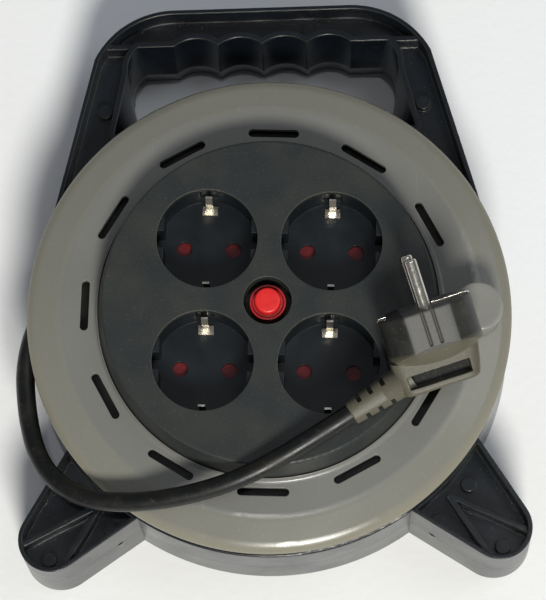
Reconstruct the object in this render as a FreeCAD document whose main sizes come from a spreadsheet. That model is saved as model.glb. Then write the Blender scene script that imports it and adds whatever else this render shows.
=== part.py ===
import FreeCAD, Part
import Sketcher
import math
import os
from types import SimpleNamespace
from FreeCAD import Placement, Rotation, Vector

# Extension cord reel, lying on its back.
# Z is the drum's axis and points to the sockets, Y points to the handle, z = 0 is the back face.

doc = FreeCAD.newDocument("cord_reel")
sheet = doc.addObject("Spreadsheet::Sheet", "Sizes")

DRIVING = [
    ("frame_parting", 21.0, "height of the joint between the frame's halves"),
    ("frame_rim", 42.0, "height of the frame's front rim"),
    ("frame_skin", 2.5, "wall and floor of the frame's mouldings"),
    ("frame_draft", 1.9, "how much each outside wall leans in from the back to the rim"),
    ("rim_wall", 1.7, "thickness of the handle's and the feet's walls at the rim"),
    ("pan_depth", 10.0, "depth of the open pans in the handle and the feet"),
    ("rib_drop", 2.0, "how far the ribs in the pans stay below the rim"),
    ("rib_wall", 2.2, "thickness of a rib"),
    ("ring_radius", 96.2, "outside of the frame's ring wall"),
    ("guide_reach", 5.2, "how far the rolled cord guide reaches in from the ring's outside"),
    ("guide_height", 5.5, "height of the rolled cord guide"),
    ("guide_round", 2.2, "rounding of the cord guide"),
    ("rim_round", 0.8, "rounding of the ring's outer rim"),
    ("ring_cover", 0.7, "how far the ring's wall is covered where a hollow starts beside it"),
    ("handle_rise", 33.8, "handle's top edge beyond the ring"),
    ("handle_flat", 36.0, "half length of the handle's straight top"),
    ("handle_side_x", 68.0, "where the rounded corner meets the leg, across"),
    ("handle_side_rise", 13.8, "where the rounded corner meets the leg, beyond the ring"),
    ("handle_round", 36.0, "radius of the handle's corner"),
    ("leg_foot_sink", 2.33, "how deep the handle's leg runs into the ring's wall at the rim"),
    ("leg_foot_angle", 14.8, "where it does so, and which way its side faces, degrees"),
    ("finger_pitch", 17.9, "distance between the finger cusps"),
    ("finger_round", 14.5, "radius of a finger arc"),
    ("grip_front_rise", 18.3, "grip's lower edge at the rims, beyond the ring"),
    ("grip_middle_rise", 13.8, "grip's lower edge at the parting, beyond the ring"),
    ("window_round", 12.0, "radius of the window's corners"),
    ("window_flat_middle", 48.0, "half length of the window's top at the parting"),
    ("window_flat_rim", 50.5, "half length of the window's top at the rims"),
    ("window_side_x_middle", 54.0, "half width of the window at the parting"),
    ("window_side_rise_middle", 0.8, "where the window's side starts at the parting, beyond the ring"),
    ("window_side_x_rim", 54.6, "half width of the window at the rims"),
    ("window_side_rise_rim", 7.8, "where the window's side starts at the rims, beyond the ring"),
    ("window_low_drop", 18.2, "lower end of the window's sides, below the ring's edge"),
    ("window_low_middle", 50.0, "half width of that lower end at the parting"),
    ("window_low_rim", 60.5, "half width of that lower end at the rims"),
    ("foot_reach", 25.15, "centre of a foot's round tip, beyond the ring"),
    ("foot_angle", 44.37, "direction of a foot, degrees"),
    ("foot_round", 12.65, "radius of a foot's tip at the rim"),
    ("foot_upper_angle", 31.5, "where the upper edge meets the tip's round, degrees"),
    ("foot_lower_angle", 123.6, "where the lower edge meets the tip's round, degrees"),
    ("foot_root_sink", 2.3, "how deep a foot's edges start inside the ring"),
    ("foot_root_upper", 31.8, "where the upper edge starts at the rim, degrees"),
    ("foot_root_lower", 55.72, "where the lower edge starts at the rim, degrees"),
    ("foot_root_fan", 0.67, "how far these starts part for each millimetre of lean, degrees"),
    ("foot_rib_reach", 2.13, "start of a foot's two ribs, beyond the ring"),
    ("foot_rib_start", 46.65, "direction of that start, degrees"),
    ("foot_rib_angle_1", 26.0, "fall of the outer rib, degrees"),
    ("foot_rib_length_1", 38.0, "length of the outer rib, which ends in the foot's wall"),
    ("foot_rib_angle_2", 57.7, "fall of the inner rib, degrees"),
    ("foot_rib_length_2", 32.0, "length of the inner rib, which ends in the foot's wall"),
    ("boss_radius", 3.0, "screw bosses in the front half's pans"),
    ("pillar_radius", 4.6, "screw pillars in the back half"),
    ("screw_seat", 8.0, "where the heads of the frame's screws sit"),
    ("boss_stand", 3.0, "how far the bosses stand above the pan's floor"),
    ("side_boss_x", 64.5, "screw in the handle's leg, across"),
    ("side_boss_drop", 6.2, "screw in the handle's leg, below the ring's edge"),
    ("grip_boss_x", 19.4, "screw in the grip, across"),
    ("grip_boss_rise", 25.8, "screw in the grip, beyond the ring"),
    ("foot_boss_reach_1", 30.96, "screw at the foot's tip, beyond the ring"),
    ("foot_boss_angle_1", 46.08, "direction of that screw, degrees"),
    ("foot_boss_reach_2", 5.12, "upper screw at the foot's root, beyond the ring"),
    ("foot_boss_angle_2", 41.32, "direction of that screw, degrees"),
    ("foot_boss_reach_3", 6.75, "lower screw at the foot's root, beyond the ring"),
    ("foot_boss_angle_3", 51.71, "direction of that screw, degrees"),
    ("frame_screw_radius", 1.5, "thread of the frame's screws"),
    ("frame_screw_head", 2.9, "head radius of the frame's screws"),
    ("frame_screw_length", 22.0, "length of the frame's screws"),
    ("screw_slack", 0.15, "room around a screw in its hole"),
    ("stub_radius", 9.0, "bearing stub on the frame's back"),
    ("stub_top", 20.0, "top of the bearing stub"),
    ("thrust_radius", 16.0, "raised ring that the drum runs on"),
    ("thrust_top", 3.4, "top of that ring"),
    ("running_gap", 0.05, "radial play of a bearing"),
    ("end_play", 0.25, "axial play of a turning piece"),
    ("washer_radius", 14.0, "retaining washer"),
    ("washer_thickness", 1.5, "thickness of the retaining washer"),
    ("axle_screw_radius", 2.5, "thread of the axle screw"),
    ("axle_screw_head", 4.6, "head radius of the axle screw"),
    ("axle_screw_length", 15.0, "length of the axle screw"),
    ("screw_head_height", 2.6, "height of a pan head"),
    ("drum_turn", -3.1, "how far the drum is turned as it lies, degrees"),
    ("hub_radius", 58.5, "outside of the drum's hub"),
    ("drum_wall", 2.5, "wall of the drum's mouldings"),
    ("drum_parting", 30.0, "height of the joint between the drum's halves"),
    ("bearing_radius", 12.5, "outside of the drum's bearing boss"),
    ("rear_flange_room", 3.7, "room between the rear flange and the ring's wall"),
    ("rear_flange_low", 7.0, "underside of the rear flange"),
    ("front_flange_top", 58.0, "flat top of the front flange"),
    ("slope_width", 9.0, "width of the front flange's slope outside its flat"),
    ("slope_angle", 15.0, "fall of that slope"),
    ("slope_bend", 12.0, "radius of the bend between flat and slope"),
    ("lip_inset", 1.2, "front flange's edge inside the ring's outside"),
    ("lip_width", 4.5, "width of the front flange's rounded edge"),
    ("lip_angle", 62.0, "fall where that edge ends"),
    ("collar_height", 1.75, "raised collar round the socket plate, with a hollow fillet of that radius"),
    ("collar_width", 0.3, "flat top of the raised collar"),
    ("plate_seat_depth", 0.5, "where the socket plate sits, below the flange's top"),
    ("overrun", 1.0, "how far a cut or a joined piece runs past the face it meets"),
    ("plate_pilot_depth", 12.0, "pilot holes for the plate's screws"),
    ("carrier_pilot_depth", 10.0, "pilot holes for the carrier's screws"),
    ("clip_slot_room", 1.5, "slot for an earth arm, inside the place where the arm touches a plug"),
    ("stop_side", 1.5, "shutter stop beyond the earth strip on each side"),
    ("stop_thickness", 1.0, "thickness of a shutter stop"),
    ("live_lead_x", -8.0, "live lead's end on the cut-out, across"),
    ("live_lead_y", -8.0, "live lead's end on the cut-out, up"),
    ("neutral_lead_y", 3.0, "neutral lead's end on its bar, up"),
    ("earth_lead_x", -24.0, "earth lead's end on its bar, across"),
    ("spring_room", 0.05, "room at each end of a return spring"),
    ("cord_start_run", 19.0, "straight run of the free cord off the outer layer"),
    ("cord_end_run", 21.0, "straight run of the free cord into the strain relief"),
    ("plug_collar_inset", 0.3, "plug's collar inside its front, on the far side"),
    ("plug_collar_slant", 2.0, "how far the far side draws in over the collar"),
    ("plug_collar_bulge", 0.6, "how far the cord side swells over the collar"),
    ("plug_rear_inset", 2.4, "grip's far side where it leaves the collar, inside the plug's flat"),
    ("plug_end_inset", 3.6, "grip's far side at its end, inside the plug's flat"),
    ("plug_cord_inset", 2.0, "grip's cord side at its end, inside the plug's flat"),
    ("finger_side", 6.4, "far end of the finger recess, inside the plug's flat"),
    ("finger_depth", 3.0, "depth of the finger recess"),
    ("finger_front", 0.7, "start of the finger recess before the middle of the cord's entry"),
    ("finger_ledge", 2.2, "ledge behind the finger recess"),
    ("plug_strip_root", 1.6, "inside of the plug's earth strip, under its round side"),
    ("plug_strip_sink", 0.2, "outside of the plug's earth strip, under its round side"),
    ("plug_strip_end", 1.5, "plug's round front beyond its earth strip"),
    ("slot_count", 12.0, "places for slots, the knob takes one"),
    ("slot_reach", 5.0, "middle of the slots beyond the socket plate's foot"),
    ("slot_length", 20.0, "length of a slot"),
    ("slot_width", 3.2, "width of a slot"),
    ("drum_boss_x", 24.2, "drum screws, across"),
    ("drum_boss_y", 45.5, "drum screws, up"),
    ("drum_boss_radius", 4.8, "screw bosses of the drum"),
    ("drum_screw_radius", 1.75, "thread of the drum screws"),
    ("drum_screw_head", 3.4, "head radius of the drum screws"),
    ("drum_screw_length", 32.0, "length of the drum screws"),
    ("front_boss_top", 46.0, "top of the front half's screw bosses"),
    ("knob_boss_radius", 9.2, "seat of the winding knob on the flange"),
    ("knob_boss_height", 4.7, "thickness of the flange at that seat"),
    ("knob_boss_rise", 0.2, "how far that seat stands above the flange"),
    ("knob_shift", 0.2, "winding knob inside the middle between the plate and the flange's edge"),
    ("knob_radius", 9.5, "radius of the winding knob"),
    ("knob_top", 72.0, "top of the winding knob"),
    ("knob_round", 2.0, "rounding of the winding knob"),
    ("pin_radius", 3.0, "radius of the knob's pin"),
    ("pin_head_radius", 4.3, "snap head of the knob's pin"),
    ("pin_head_low", 66.0, "underside of that head"),
    ("pin_head_height", 2.4, "height of that head"),
    ("pin_foot_radius", 5.0, "foot of the knob's pin under the flange"),
    ("pin_foot_height", 1.5, "thickness of that foot"),
    ("pin_head_room", 0.3, "room round the pin's head"),
    ("lip_round", 1.0, "rounding of the front flange's edge"),
    ("plate_top", 73.0, "face of the socket plate"),
    ("plate_slack", 0.1, "room between the plate's wall and the collar"),
    ("plate_radius", 66.4, "foot of the socket plate's wall"),
    ("plate_top_radius", 63.8, "edge of the socket plate's face"),
    ("plate_wall", 2.4, "wall of the socket plate"),
    ("plate_round", 1.0, "rounding of the socket plate's edge"),
    ("socket_offset", 24.0, "socket centres, across and up"),
    ("recess_radius", 19.5, "socket recess"),
    ("recess_depth", 17.5, "depth of a socket recess"),
    ("recess_wall", 2.0, "wall and floor of a recess"),
    ("flat_distance", 16.9, "flats at the recess's sides"),
    ("flat_half_width", 9.0, "half width of those flats"),
    ("notch_reach", 20.7, "guide notch in those flats, from the socket's centre"),
    ("notch_width", 6.6, "width of the guide notch"),
    ("clip_slot_reach", 21.0, "slot for an earth arm, from the socket's centre"),
    ("clip_slot_width", 7.3, "width of that slot"),
    ("contact_pitch", 19.0, "distance between a socket's two pin holes"),
    ("pin_hole_radius", 3.0, "pin hole in a recess's floor"),
    ("well_radius", 9.3, "centre well for the button"),
    ("well_wall", 2.0, "wall of the centre well"),
    ("well_depth", 13.0, "depth of the centre well"),
    ("plate_screw_distance", 47.0, "plate screws from the axis"),
    ("plate_boss_depth", 23.0, "foot of the plate's screw bosses below its face"),
    ("lug_height", 5.0, "height of a lug"),
    ("lug_radius", 4.5, "radius of a lug and of the boss on it"),
    ("plate_screw_radius", 1.5, "thread of the plate screws"),
    ("plate_screw_head", 2.8, "head radius of the plate screws"),
    ("plate_screw_length", 16.0, "length of the plate screws"),
    ("carrier_radius", 45.5, "edge of the contact carrier"),
    ("carrier_depth", 23.0, "top of the contact carrier below the plate's face"),
    ("carrier_height", 6.0, "thickness of the contact carrier"),
    ("cover_room", 3.9, "room between the axle screw's head and the carrier cover"),
    ("cover_thickness", 3.0, "thickness of the carrier cover"),
    ("post_distance_y", 28.0, "carrier posts above and below the axis"),
    ("post_distance_x", 24.0, "carrier posts beside the axis"),
    ("post_radius", 3.4, "radius of a carrier post"),
    ("carrier_screw_grip", 6.0, "how far the carrier screws reach into the plate's bosses"),
    ("sleeve_radius", 3.3, "outside of a pin sleeve"),
    ("sleeve_bore", 2.45, "bore of a pin sleeve"),
    ("sleeve_depth", 1.0, "top of a pin sleeve below the carrier's top"),
    ("bar_width", 6.0, "width of a contact bar"),
    ("bar_thickness", 2.0, "thickness of a contact bar"),
    ("link_distance", 36.0, "cross link of a contact bar from the axis"),
    ("part_gap", 0.3, "room around an inner piece"),
    ("strip_thickness", 0.8, "sheet of the earth parts"),
    ("strip_width", 6.0, "width of an earth strip"),
    ("clip_tip_width", 2.6, "width of an earth arm's tip"),
    ("clip_reach", 17.4, "earth arm's outside, from the socket's centre"),
    ("clip_pinch", 16.2, "earth arm's outside where it touches a plug"),
    ("clip_bend_depth", 15.0, "where the earth arm starts to lean in, below the plate's face"),
    ("clip_pinch_depth", 7.0, "where it touches a plug, below the plate's face"),
    ("clip_tip_depth", 2.5, "tip of the earth arm below the plate's face"),
    ("clip_tab", 3.6, "folded tab of the upper arm on the recess's floor"),
    ("earth_bar_offset", 14.0, "cross strips of the earth bar from the axis"),
    ("earth_link_x", 13.4, "link between those strips, across"),
    ("earth_bar_width", 3.6, "width of the earth bar's strips"),
    ("cutout_half_width", 10.3, "half width of the thermal cut-out"),
    ("cutout_stand", 2.0, "underside of the cut-out above the carrier cover"),
    ("cutout_neck_radius", 9.0, "neck of the cut-out under the button's well"),
    ("cutout_flange", 12.6, "half width of the cut-out's flange"),
    ("cutout_flange_height", 2.0, "height of the cut-out's flange"),
    ("button_radius", 7.0, "disc of the reset button"),
    ("button_disc_depth", 9.0, "underside of that disc below the plate's face"),
    ("button_disc_height", 6.0, "thickness of that disc"),
    ("button_cap_radius", 4.6, "raised cap of the reset button"),
    ("button_stand", 0.5, "how far the reset button stands out of the plate's face"),
    ("button_travel", 2.5, "how far the button goes in"),
    ("stem_radius", 2.4, "stem of the reset button"),
    ("stem_play", 0.3, "room around the stem"),
    ("stem_foot_radius", 3.1, "foot of the stem that keeps the button in"),
    ("stem_foot_depth", 23.0, "underside of that foot below the plate's face"),
    ("stem_foot_height", 1.5, "height of that foot"),
    ("spring_radius", 4.6, "reset spring, centre of the wire"),
    ("spring_wire", 0.25, "reset spring, radius of the wire"),
    ("shutter_half_length", 12.6, "half length of a shutter"),
    ("shutter_half_width", 3.8, "half width of a shutter"),
    ("shutter_room", 0.3, "room under a shutter"),
    ("shutter_thickness", 2.9, "thickness of a shutter"),
    ("shutter_stop", 14.5, "spring stop, from the socket's centre"),
    ("shutter_spring_radius", 1.1, "shutter spring, centre of the wire"),
    ("shutter_spring_wire", 0.18, "shutter spring, radius of the wire"),
    ("cord_radius", 3.7, "radius of the cord"),
    ("turn_inset", 6.0, "centreline of the outer layer of turns inside the rear flange's edge"),
    ("turn_pitch", 8.0, "pitch of the turns"),
    ("turn_count", 4.0, "turns in the outer layer"),
    ("cord_leaves_angle", 157.05, "where the cord leaves the outer layer, degrees"),
    ("cord_leaves_height", 46.2, "height at which it leaves"),
    ("entry_height", 17.0, "inner end of the cord, height"),
    ("entry_length", 15.0, "inner end of the cord inside the hub"),
    ("clamp_thickness", 3.0, "thickness of the cable clamp"),
    ("clamp_half_length", 11.0, "half length of the cable clamp"),
    ("clamp_width", 6.0, "width of the cable clamp"),
    ("clamp_distance", 48.0, "cable clamp from the axis"),
    ("clamp_screw_length", 9.0, "length of the clamp screws"),
    ("clamp_screw_head", 2.5, "head radius of the clamp screws"),
    ("clamp_screw_offset", 7.6, "clamp screws beside the cord"),
    ("clamp_screw_radius", 1.4, "thread of the clamp screws"),
    ("lead_radius", 1.3, "radius of an inner lead"),
    ("plug_x", 58.05, "middle of the plug's face, across"),
    ("plug_y", -9.03, "middle of the plug's face, up"),
    ("plug_z", 93.9, "middle of the plug's face, height"),
    ("plug_yaw", 107.2, "heading of the plug's pins, degrees"),
    ("plug_pitch", 19.1, "rise of the plug's pins, degrees"),
    ("plug_roll", -3.4, "roll of the plug about its pins, degrees"),
    ("plug_radius", 18.25, "round front of the plug"),
    ("plug_flat", 16.0, "flats of the plug from its middle"),
    ("plug_front", 13.5, "depth of the plug's front"),
    ("plug_groove_width", 5.0, "guide grooves in the plug's flats"),
    ("plug_groove_depth", 2.2, "depth of the guide grooves"),
    ("plug_pin_radius", 2.4, "plug pin"),
    ("plug_pin_length", 19.0, "plug pin in front of the face"),
    ("plug_pin_root", 9.0, "root of the pin inside the body"),
    ("plug_pin_root_radius", 3.2, "radius of that root"),
    ("plug_collar", 6.2, "thickness of the plug's collar"),
    ("plug_collar_height", 14.0, "half height of the collar"),
    ("plug_rear_half", 9.5, "half height of the plug's rear"),
    ("plug_back", 30.2, "end of the plug behind its face"),
    ("plug_strip_width", 5.2, "side earth contact of the plug"),
    ("relief_length", 21.2, "length of the strain relief"),
    ("relief_root_radius", 5.8, "strain relief at the plug"),
    ("relief_tip_radius", 4.6, "strain relief at its tip"),
    ("relief_notch_width", 1.8, "slots across the strain relief"),
    ("relief_notch_depth", 2.4, "depth of those slots at the tip"),
    ("relief_angle", 14.8, "how far the relief points back, degrees"),
    ("relief_side", 17.2, "root of the relief, sideways"),
    ("relief_back", 24.7, "root of the relief, behind the face"),
]

for row, (alias, number, note) in enumerate(DRIVING, 1):
    sheet.set("A%d" % row, note)
    sheet.set("B%d" % row, repr(number))
    sheet.setAlias("B%d" % row, alias)
doc.recompute()


class Size:
    """A number together with the sheet formula that gives it."""

    def __init__(self, value, text):
        self.value = float(value)
        self.text = text

    def __add__(self, other):
        return Size(self.value + float(other), "(%s + %s)" % (self.text, formula(other)))

    def __radd__(self, other):
        return self + other

    def __sub__(self, other):
        return Size(self.value - float(other), "(%s - %s)" % (self.text, formula(other)))

    def __rsub__(self, other):
        return Size(float(other) - self.value, "(%s - %s)" % (formula(other), self.text))

    def __mul__(self, other):
        return Size(self.value * float(other), "(%s * %s)" % (self.text, formula(other)))

    def __rmul__(self, other):
        return self * other

    def __truediv__(self, other):
        return Size(self.value / float(other), "(%s / %s)" % (self.text, formula(other)))

    def __rtruediv__(self, other):
        return Size(float(other) / self.value, "(%s / %s)" % (formula(other), self.text))

    def __neg__(self):
        return Size(-self.value, "(0 - %s)" % self.text)

    def __float__(self):
        return self.value


def formula(number):
    """The sheet formula of a size, or a plain number as text."""
    return number.text if isinstance(number, Size) else repr(float(number))


def cosine(angle):
    return Size(math.cos(math.radians(float(angle))), "cos(%s * 1 deg)" % formula(angle))


def sine(angle):
    return Size(math.sin(math.radians(float(angle))), "sin(%s * 1 deg)" % formula(angle))


d = SimpleNamespace(**{alias: Size(sheet.get(alias), "Sizes." + alias) for alias, number, note in DRIVING})


def from_ring(reach, angle):
    """A spot beyond the ring in the lower right quarter, its second number counted downwards."""
    return (d.ring_radius + reach) * cosine(angle), (d.ring_radius + reach) * sine(angle)


# Places that follow the ring
d.guide_radius = d.ring_radius - d.guide_reach
d.handle_top = d.ring_radius + d.handle_rise
d.handle_side_y = d.ring_radius + d.handle_side_rise
d.grip_front_y = d.ring_radius + d.grip_front_rise
d.grip_middle_y = d.ring_radius + d.grip_middle_rise
d.window_side_y_middle = d.ring_radius + d.window_side_rise_middle
d.window_side_y_rim = d.ring_radius + d.window_side_rise_rim
d.window_low_y = d.ring_radius - d.window_low_drop
d.foot_x, d.foot_y = from_ring(d.foot_reach, d.foot_angle)
d.foot_rib_x, d.foot_rib_y = from_ring(d.foot_rib_reach, d.foot_rib_start)
d.side_boss_y = d.ring_radius - d.side_boss_drop
d.grip_boss_y = d.ring_radius + d.grip_boss_rise
d.foot_boss_x_1, d.foot_boss_y_1 = from_ring(d.foot_boss_reach_1, d.foot_boss_angle_1)
d.foot_boss_x_2, d.foot_boss_y_2 = from_ring(d.foot_boss_reach_2, d.foot_boss_angle_2)
d.foot_boss_x_3, d.foot_boss_y_3 = from_ring(d.foot_boss_reach_3, d.foot_boss_angle_3)
d.rear_flange_radius = d.ring_radius - d.frame_skin - d.rear_flange_room
d.turn_radius = d.rear_flange_radius - d.turn_inset
d.lip_radius = d.ring_radius - d.lip_inset
d.slope_radius = d.lip_radius - d.lip_width
d.front_flat_radius = d.slope_radius - d.slope_width
d.slope_low = d.front_flange_top - d.slope_width * sine(d.slope_angle) / cosine(d.slope_angle)
d.lip_section = d.lip_width / (sine(d.lip_angle) - sine(d.slope_angle))
d.lip_top = d.slope_low - d.lip_section * (cosine(d.slope_angle) - cosine(d.lip_angle))
d.knob_distance = (d.plate_radius + d.lip_radius) / 2 - d.knob_shift

# Places that follow the socket plate
d.slot_radius = d.plate_radius + d.slot_reach
d.plate_seat = d.front_flange_top - d.plate_seat_depth
d.well_floor_top = d.plate_top - d.well_depth
d.lug_top = d.plate_top - d.plate_boss_depth
d.carrier_top = d.plate_top - d.carrier_depth
d.cover_top = (
    d.stub_top + d.washer_thickness + d.screw_head_height + d.cover_room + d.cover_thickness)
d.carrier_screw_length = d.carrier_top - d.cover_top + d.cover_thickness + d.carrier_screw_grip
d.sleeve_top = d.carrier_top - d.sleeve_depth
d.clip_bend_height = d.plate_top - d.clip_bend_depth
d.clip_pinch_height = d.plate_top - d.clip_pinch_depth
d.clip_tip_height = d.plate_top - d.clip_tip_depth
d.cutout_low = d.cover_top + d.cutout_stand
d.button_low = d.plate_top - d.button_disc_depth
d.button_disc_top = d.button_low + d.button_disc_height
d.button_top = d.plate_top + d.button_stand
d.stem_foot_low = d.plate_top - d.stem_foot_depth
d.shutter_low = d.carrier_top + d.shutter_room
subparts = []


def bind(thing, **sizes):
    """Tie properties to the sheet; a double underscore stands for the dot in a property's path."""
    for name, number in sizes.items():
        thing.setExpression(name.replace("__", "."), formula(number))


def place(thing, x=0, y=0, z=0):
    bind(thing, Placement__Base__x=x, Placement__Base__y=y, Placement__Base__z=z)
    return thing


def keep(thing, on_drum=True):
    """List a finished sub-part; the drum's pieces are turned with the drum."""
    subparts.append(thing)
    if on_drum:
        thing.Placement.Rotation = Rotation(Vector(0, 0, 1), float(d.drum_turn))
        bind(thing, Placement__Rotation__Angle=d.drum_turn)
    return thing


def cylinder(name, radius, low, high, x=0, y=0):
    part = doc.addObject("Part::Cylinder", name)
    bind(part, Radius=radius, Height=high - low)
    return place(part, x, y, low)


def block(name, left, right, front, back, low, high):
    part = doc.addObject("Part::Box", name)
    bind(part, Length=right - left, Width=back - front, Height=high - low)
    return place(part, left, front, low)


def fuse(name, pieces):
    part = doc.addObject("Part::MultiFuse", name)
    part.Shapes = pieces
    return part


def group(name, pieces):
    """One named sub-part of separate pieces, or of one piece that lies askew."""
    part = doc.addObject("Part::Compound", name)
    part.Links = pieces
    return part


def cut(name, base, tools):
    part = doc.addObject("Part::Cut", name)
    part.Base = base
    part.Tool = tools[0] if len(tools) == 1 else fuse(name + "_tools", tools)
    return part


def common(name, base, tool):
    part = doc.addObject("Part::Common", name)
    part.Base = base
    part.Tool = tool
    return part


def arc_centre(start, end, radius):
    """Centre of the short arc from start to end; a positive radius turns left."""
    middle = (start + end) * 0.5
    chord = end - start
    side = Vector(-chord.y, chord.x, 0)
    side.normalize()
    rise = math.sqrt(max(radius * radius - chord.Length * chord.Length / 4, 0))
    return middle + side * (rise if radius > 0 else -rise)


def draw(sketch, corners):
    """Close an outline through the corners; a third entry is the radius of the arc that ends there."""
    points = [Vector(float(c[0]), float(c[1]), 0) for c in corners]
    ends = []
    for index, corner in enumerate(corners):
        start = points[index - 1]
        end = points[index]
        if len(corner) == 2:
            sketch.addGeometry(Part.LineSegment(start, end), False)
            ends.append((1, 2))
            continue
        radius = float(corner[2])
        centre = arc_centre(start, end, radius)
        first, last = (start, end) if radius > 0 else (end, start)
        angles = [math.atan2(p.y - centre.y, p.x - centre.x) for p in (first, last)]
        circle = Part.Circle(centre, Vector(0, 0, 1), abs(radius))
        sketch.addGeometry(Part.ArcOfCircle(circle, angles[0], angles[1]), False)
        ends.append((1, 2) if radius > 0 else (2, 1))
    for index, corner in enumerate(corners):
        after = (index + 1) % len(corners)
        link = Sketcher.Constraint("Coincident", index, ends[index][1], after, ends[after][0])
        sketch.addConstraint(link)
        for kind, number in (("DistanceX", corner[0]), ("DistanceY", corner[1])):
            value = Sketcher.Constraint(kind, -1, 1, index, ends[index][1], float(number))
            at = sketch.addConstraint(value)
            if isinstance(number, Size):
                sketch.setExpression("Constraints[%d]" % at, formula(number))
        if len(corner) == 3:
            radius = corner[2] if float(corner[2]) > 0 else -corner[2]
            at = sketch.addConstraint(Sketcher.Constraint("Radius", index, float(radius)))
            if isinstance(radius, Size):
                sketch.setExpression("Constraints[%d]" % at, formula(radius))


def origin_plane(body, role):
    return [plane for plane in body.Origin.OriginFeatures if plane.Role == role][0]


def body_sketch(body, name, role, corners, height=0):
    """A sketch on one of the body's own planes, raised by a height from the sheet."""
    sketch = body.newObject("Sketcher::SketchObject", name)
    sketch.AttachmentSupport = [(origin_plane(body, role), "")]
    sketch.MapMode = "FlatFace"
    bind(sketch, AttachmentOffset__Base__z=height)
    draw(sketch, corners)
    return sketch


def turned(name, corners):
    """A body of revolution about Z from its half section in radius and height."""
    body = doc.addObject("PartDesign::Body", name)
    sketch = body_sketch(body, name + "_section", "XZ_Plane", corners)
    turn = body.newObject("PartDesign::Revolution", name + "_turn")
    turn.Profile = sketch
    turn.ReferenceAxis = (sketch, ["V_Axis"])
    turn.Angle = 360
    body.Tip = turn
    return body


def round_edges(body, name, radius, chosen):
    """Fillet the body's edges that a test picks."""
    doc.recompute()
    base = body.Tip
    names = ["Edge%d" % (i + 1) for i, edge in enumerate(base.Shape.Edges) if chosen(edge)]
    fillet = body.newObject("PartDesign::Fillet", name)
    fillet.Base = (base, names)
    bind(fillet, Radius=radius)
    body.Tip = fillet


def circle_at(edge, radius, height):
    """True for a full circle about Z of this radius at this height."""
    if not isinstance(edge.Curve, Part.Circle) or len(edge.Vertexes) != 1:
        return False
    return abs(edge.Curve.Radius - float(radius)) < 0.01 and abs(edge.Curve.Center.z - float(height)) < 0.01


def tube_from(wire, radius, start, heading):
    """A round tube along a wire."""
    ring = Part.Wire(Part.makeCircle(radius, start, heading))
    shell = Part.BRepOffsetAPI.MakePipeShell(wire)
    shell.add(ring)
    shell.build()
    shell.makeSolid()
    return shell.shape()


def arc_edge(start, heading, end):
    """The arc that leaves start along heading and ends at end."""
    chord = end - start
    along = Vector(chord)
    along.normalize()
    side = heading - along * heading.dot(along)
    side.normalize()
    angle = heading.getAngle(along)
    middle = (start + end) * 0.5 + side * (chord.Length / 2 * math.tan(angle / 2))
    return Part.Arc(start, middle, end).toShape()


def biarc(start, heading, end, arrival):
    """Two arcs that join two points and keep both headings."""
    span = end - start
    both = heading + arrival
    mixed = span.dot(both)
    spread = 2 * (1 - heading.dot(arrival))
    reach = (math.sqrt(mixed * mixed + spread * span.dot(span)) - mixed) / spread
    joint = (start + heading * reach + end - arrival * reach) * 0.5
    first = arc_edge(start, heading, joint)
    second = arc_edge(end, arrival * -1, joint)
    return [first, Part.Arc(joint, second.valueAt((second.FirstParameter + second.LastParameter) / 2),
                            end).toShape()]


def helix_tube(radius, wire, pitch, turns, leave_angle, leave_height, straight):
    """One unbroken coil about Z that climbs to its leaving point, with a short straight run at each end."""
    quarters = int(round(turns * 4))

    def point(quarter):
        angle = math.radians(leave_angle + 90 * (quarter - quarters))
        height = leave_height + pitch * (quarter - quarters) / 4
        return Vector(radius * math.cos(angle), radius * math.sin(angle), height)

    def heading(quarter):
        angle = math.radians(leave_angle + 90 * (quarter - quarters))
        way = Vector(-math.sin(angle), math.cos(angle), pitch / (2 * math.pi * radius))
        way.normalize()
        return way

    start = point(0) - heading(0) * straight
    end = point(quarters) + heading(quarters) * straight
    edges = [Part.LineSegment(start, point(0)).toShape()]
    for quarter in range(quarters):
        edges += biarc(point(quarter), heading(quarter), point(quarter + 1), heading(quarter + 1))
    edges.append(Part.LineSegment(point(quarters), end).toShape())
    return tube_from(Part.Wire(edges), wire, start, heading(0)), Part.Wire(edges), end, heading(quarters)


def rounded_wire(points):
    """Straight runs joined by tangent arcs, each as large as its two runs allow; returns radii too."""
    edges = []
    radii = []
    last = points[0]
    for before, corner, after in zip(points, points[1:], points[2:]):
        back = before - corner
        ahead = after - corner
        turn = math.pi - back.getAngle(ahead)
        trim = 0.45 * min(back.Length, ahead.Length)
        radii.append(trim / math.tan(turn / 2))
        back.normalize()
        ahead.normalize()
        enter = corner + back * trim
        leave = corner + ahead * trim
        inward = back + ahead
        inward.normalize()
        middle = corner + inward * (radii[-1] / math.cos(turn / 2) - radii[-1])
        edges.append(Part.LineSegment(last, enter).toShape())
        edges.append(Part.Arc(enter, middle, leave).toShape())
        last = leave
    edges.append(Part.LineSegment(last, points[-1]).toShape())
    return Part.Wire(edges), radii


def feature(name, shape):
    part = doc.addObject("Part::Feature", name)
    part.Shape = shape
    return part


# Frame, two mouldings that share their outlines


def plan(name, corners, height=0):
    """A free outline at a height."""
    sketch = doc.addObject("Sketcher::SketchObject", name)
    place(sketch, z=height)
    draw(sketch, corners)
    return sketch


def offset(name, outline, amount):
    part = doc.addObject("Part::Offset2D", name)
    part.Source = outline
    bind(part, Value=amount)
    return part


def slab(name, outline, low, high):
    """A straight solid over an outline drawn at z = 0."""
    part = doc.addObject("Part::Extrusion", name)
    part.Base = outline
    part.DirMode = "Custom"
    part.Dir = Vector(0, 0, 1)
    part.Solid = True
    bind(part, LengthFwd=high - low)
    return place(part, z=low)


def mirrored(name, source):
    part = doc.addObject("Part::Mirroring", name)
    part.Source = source
    part.Normal = Vector(1, 0, 0)
    return part


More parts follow.
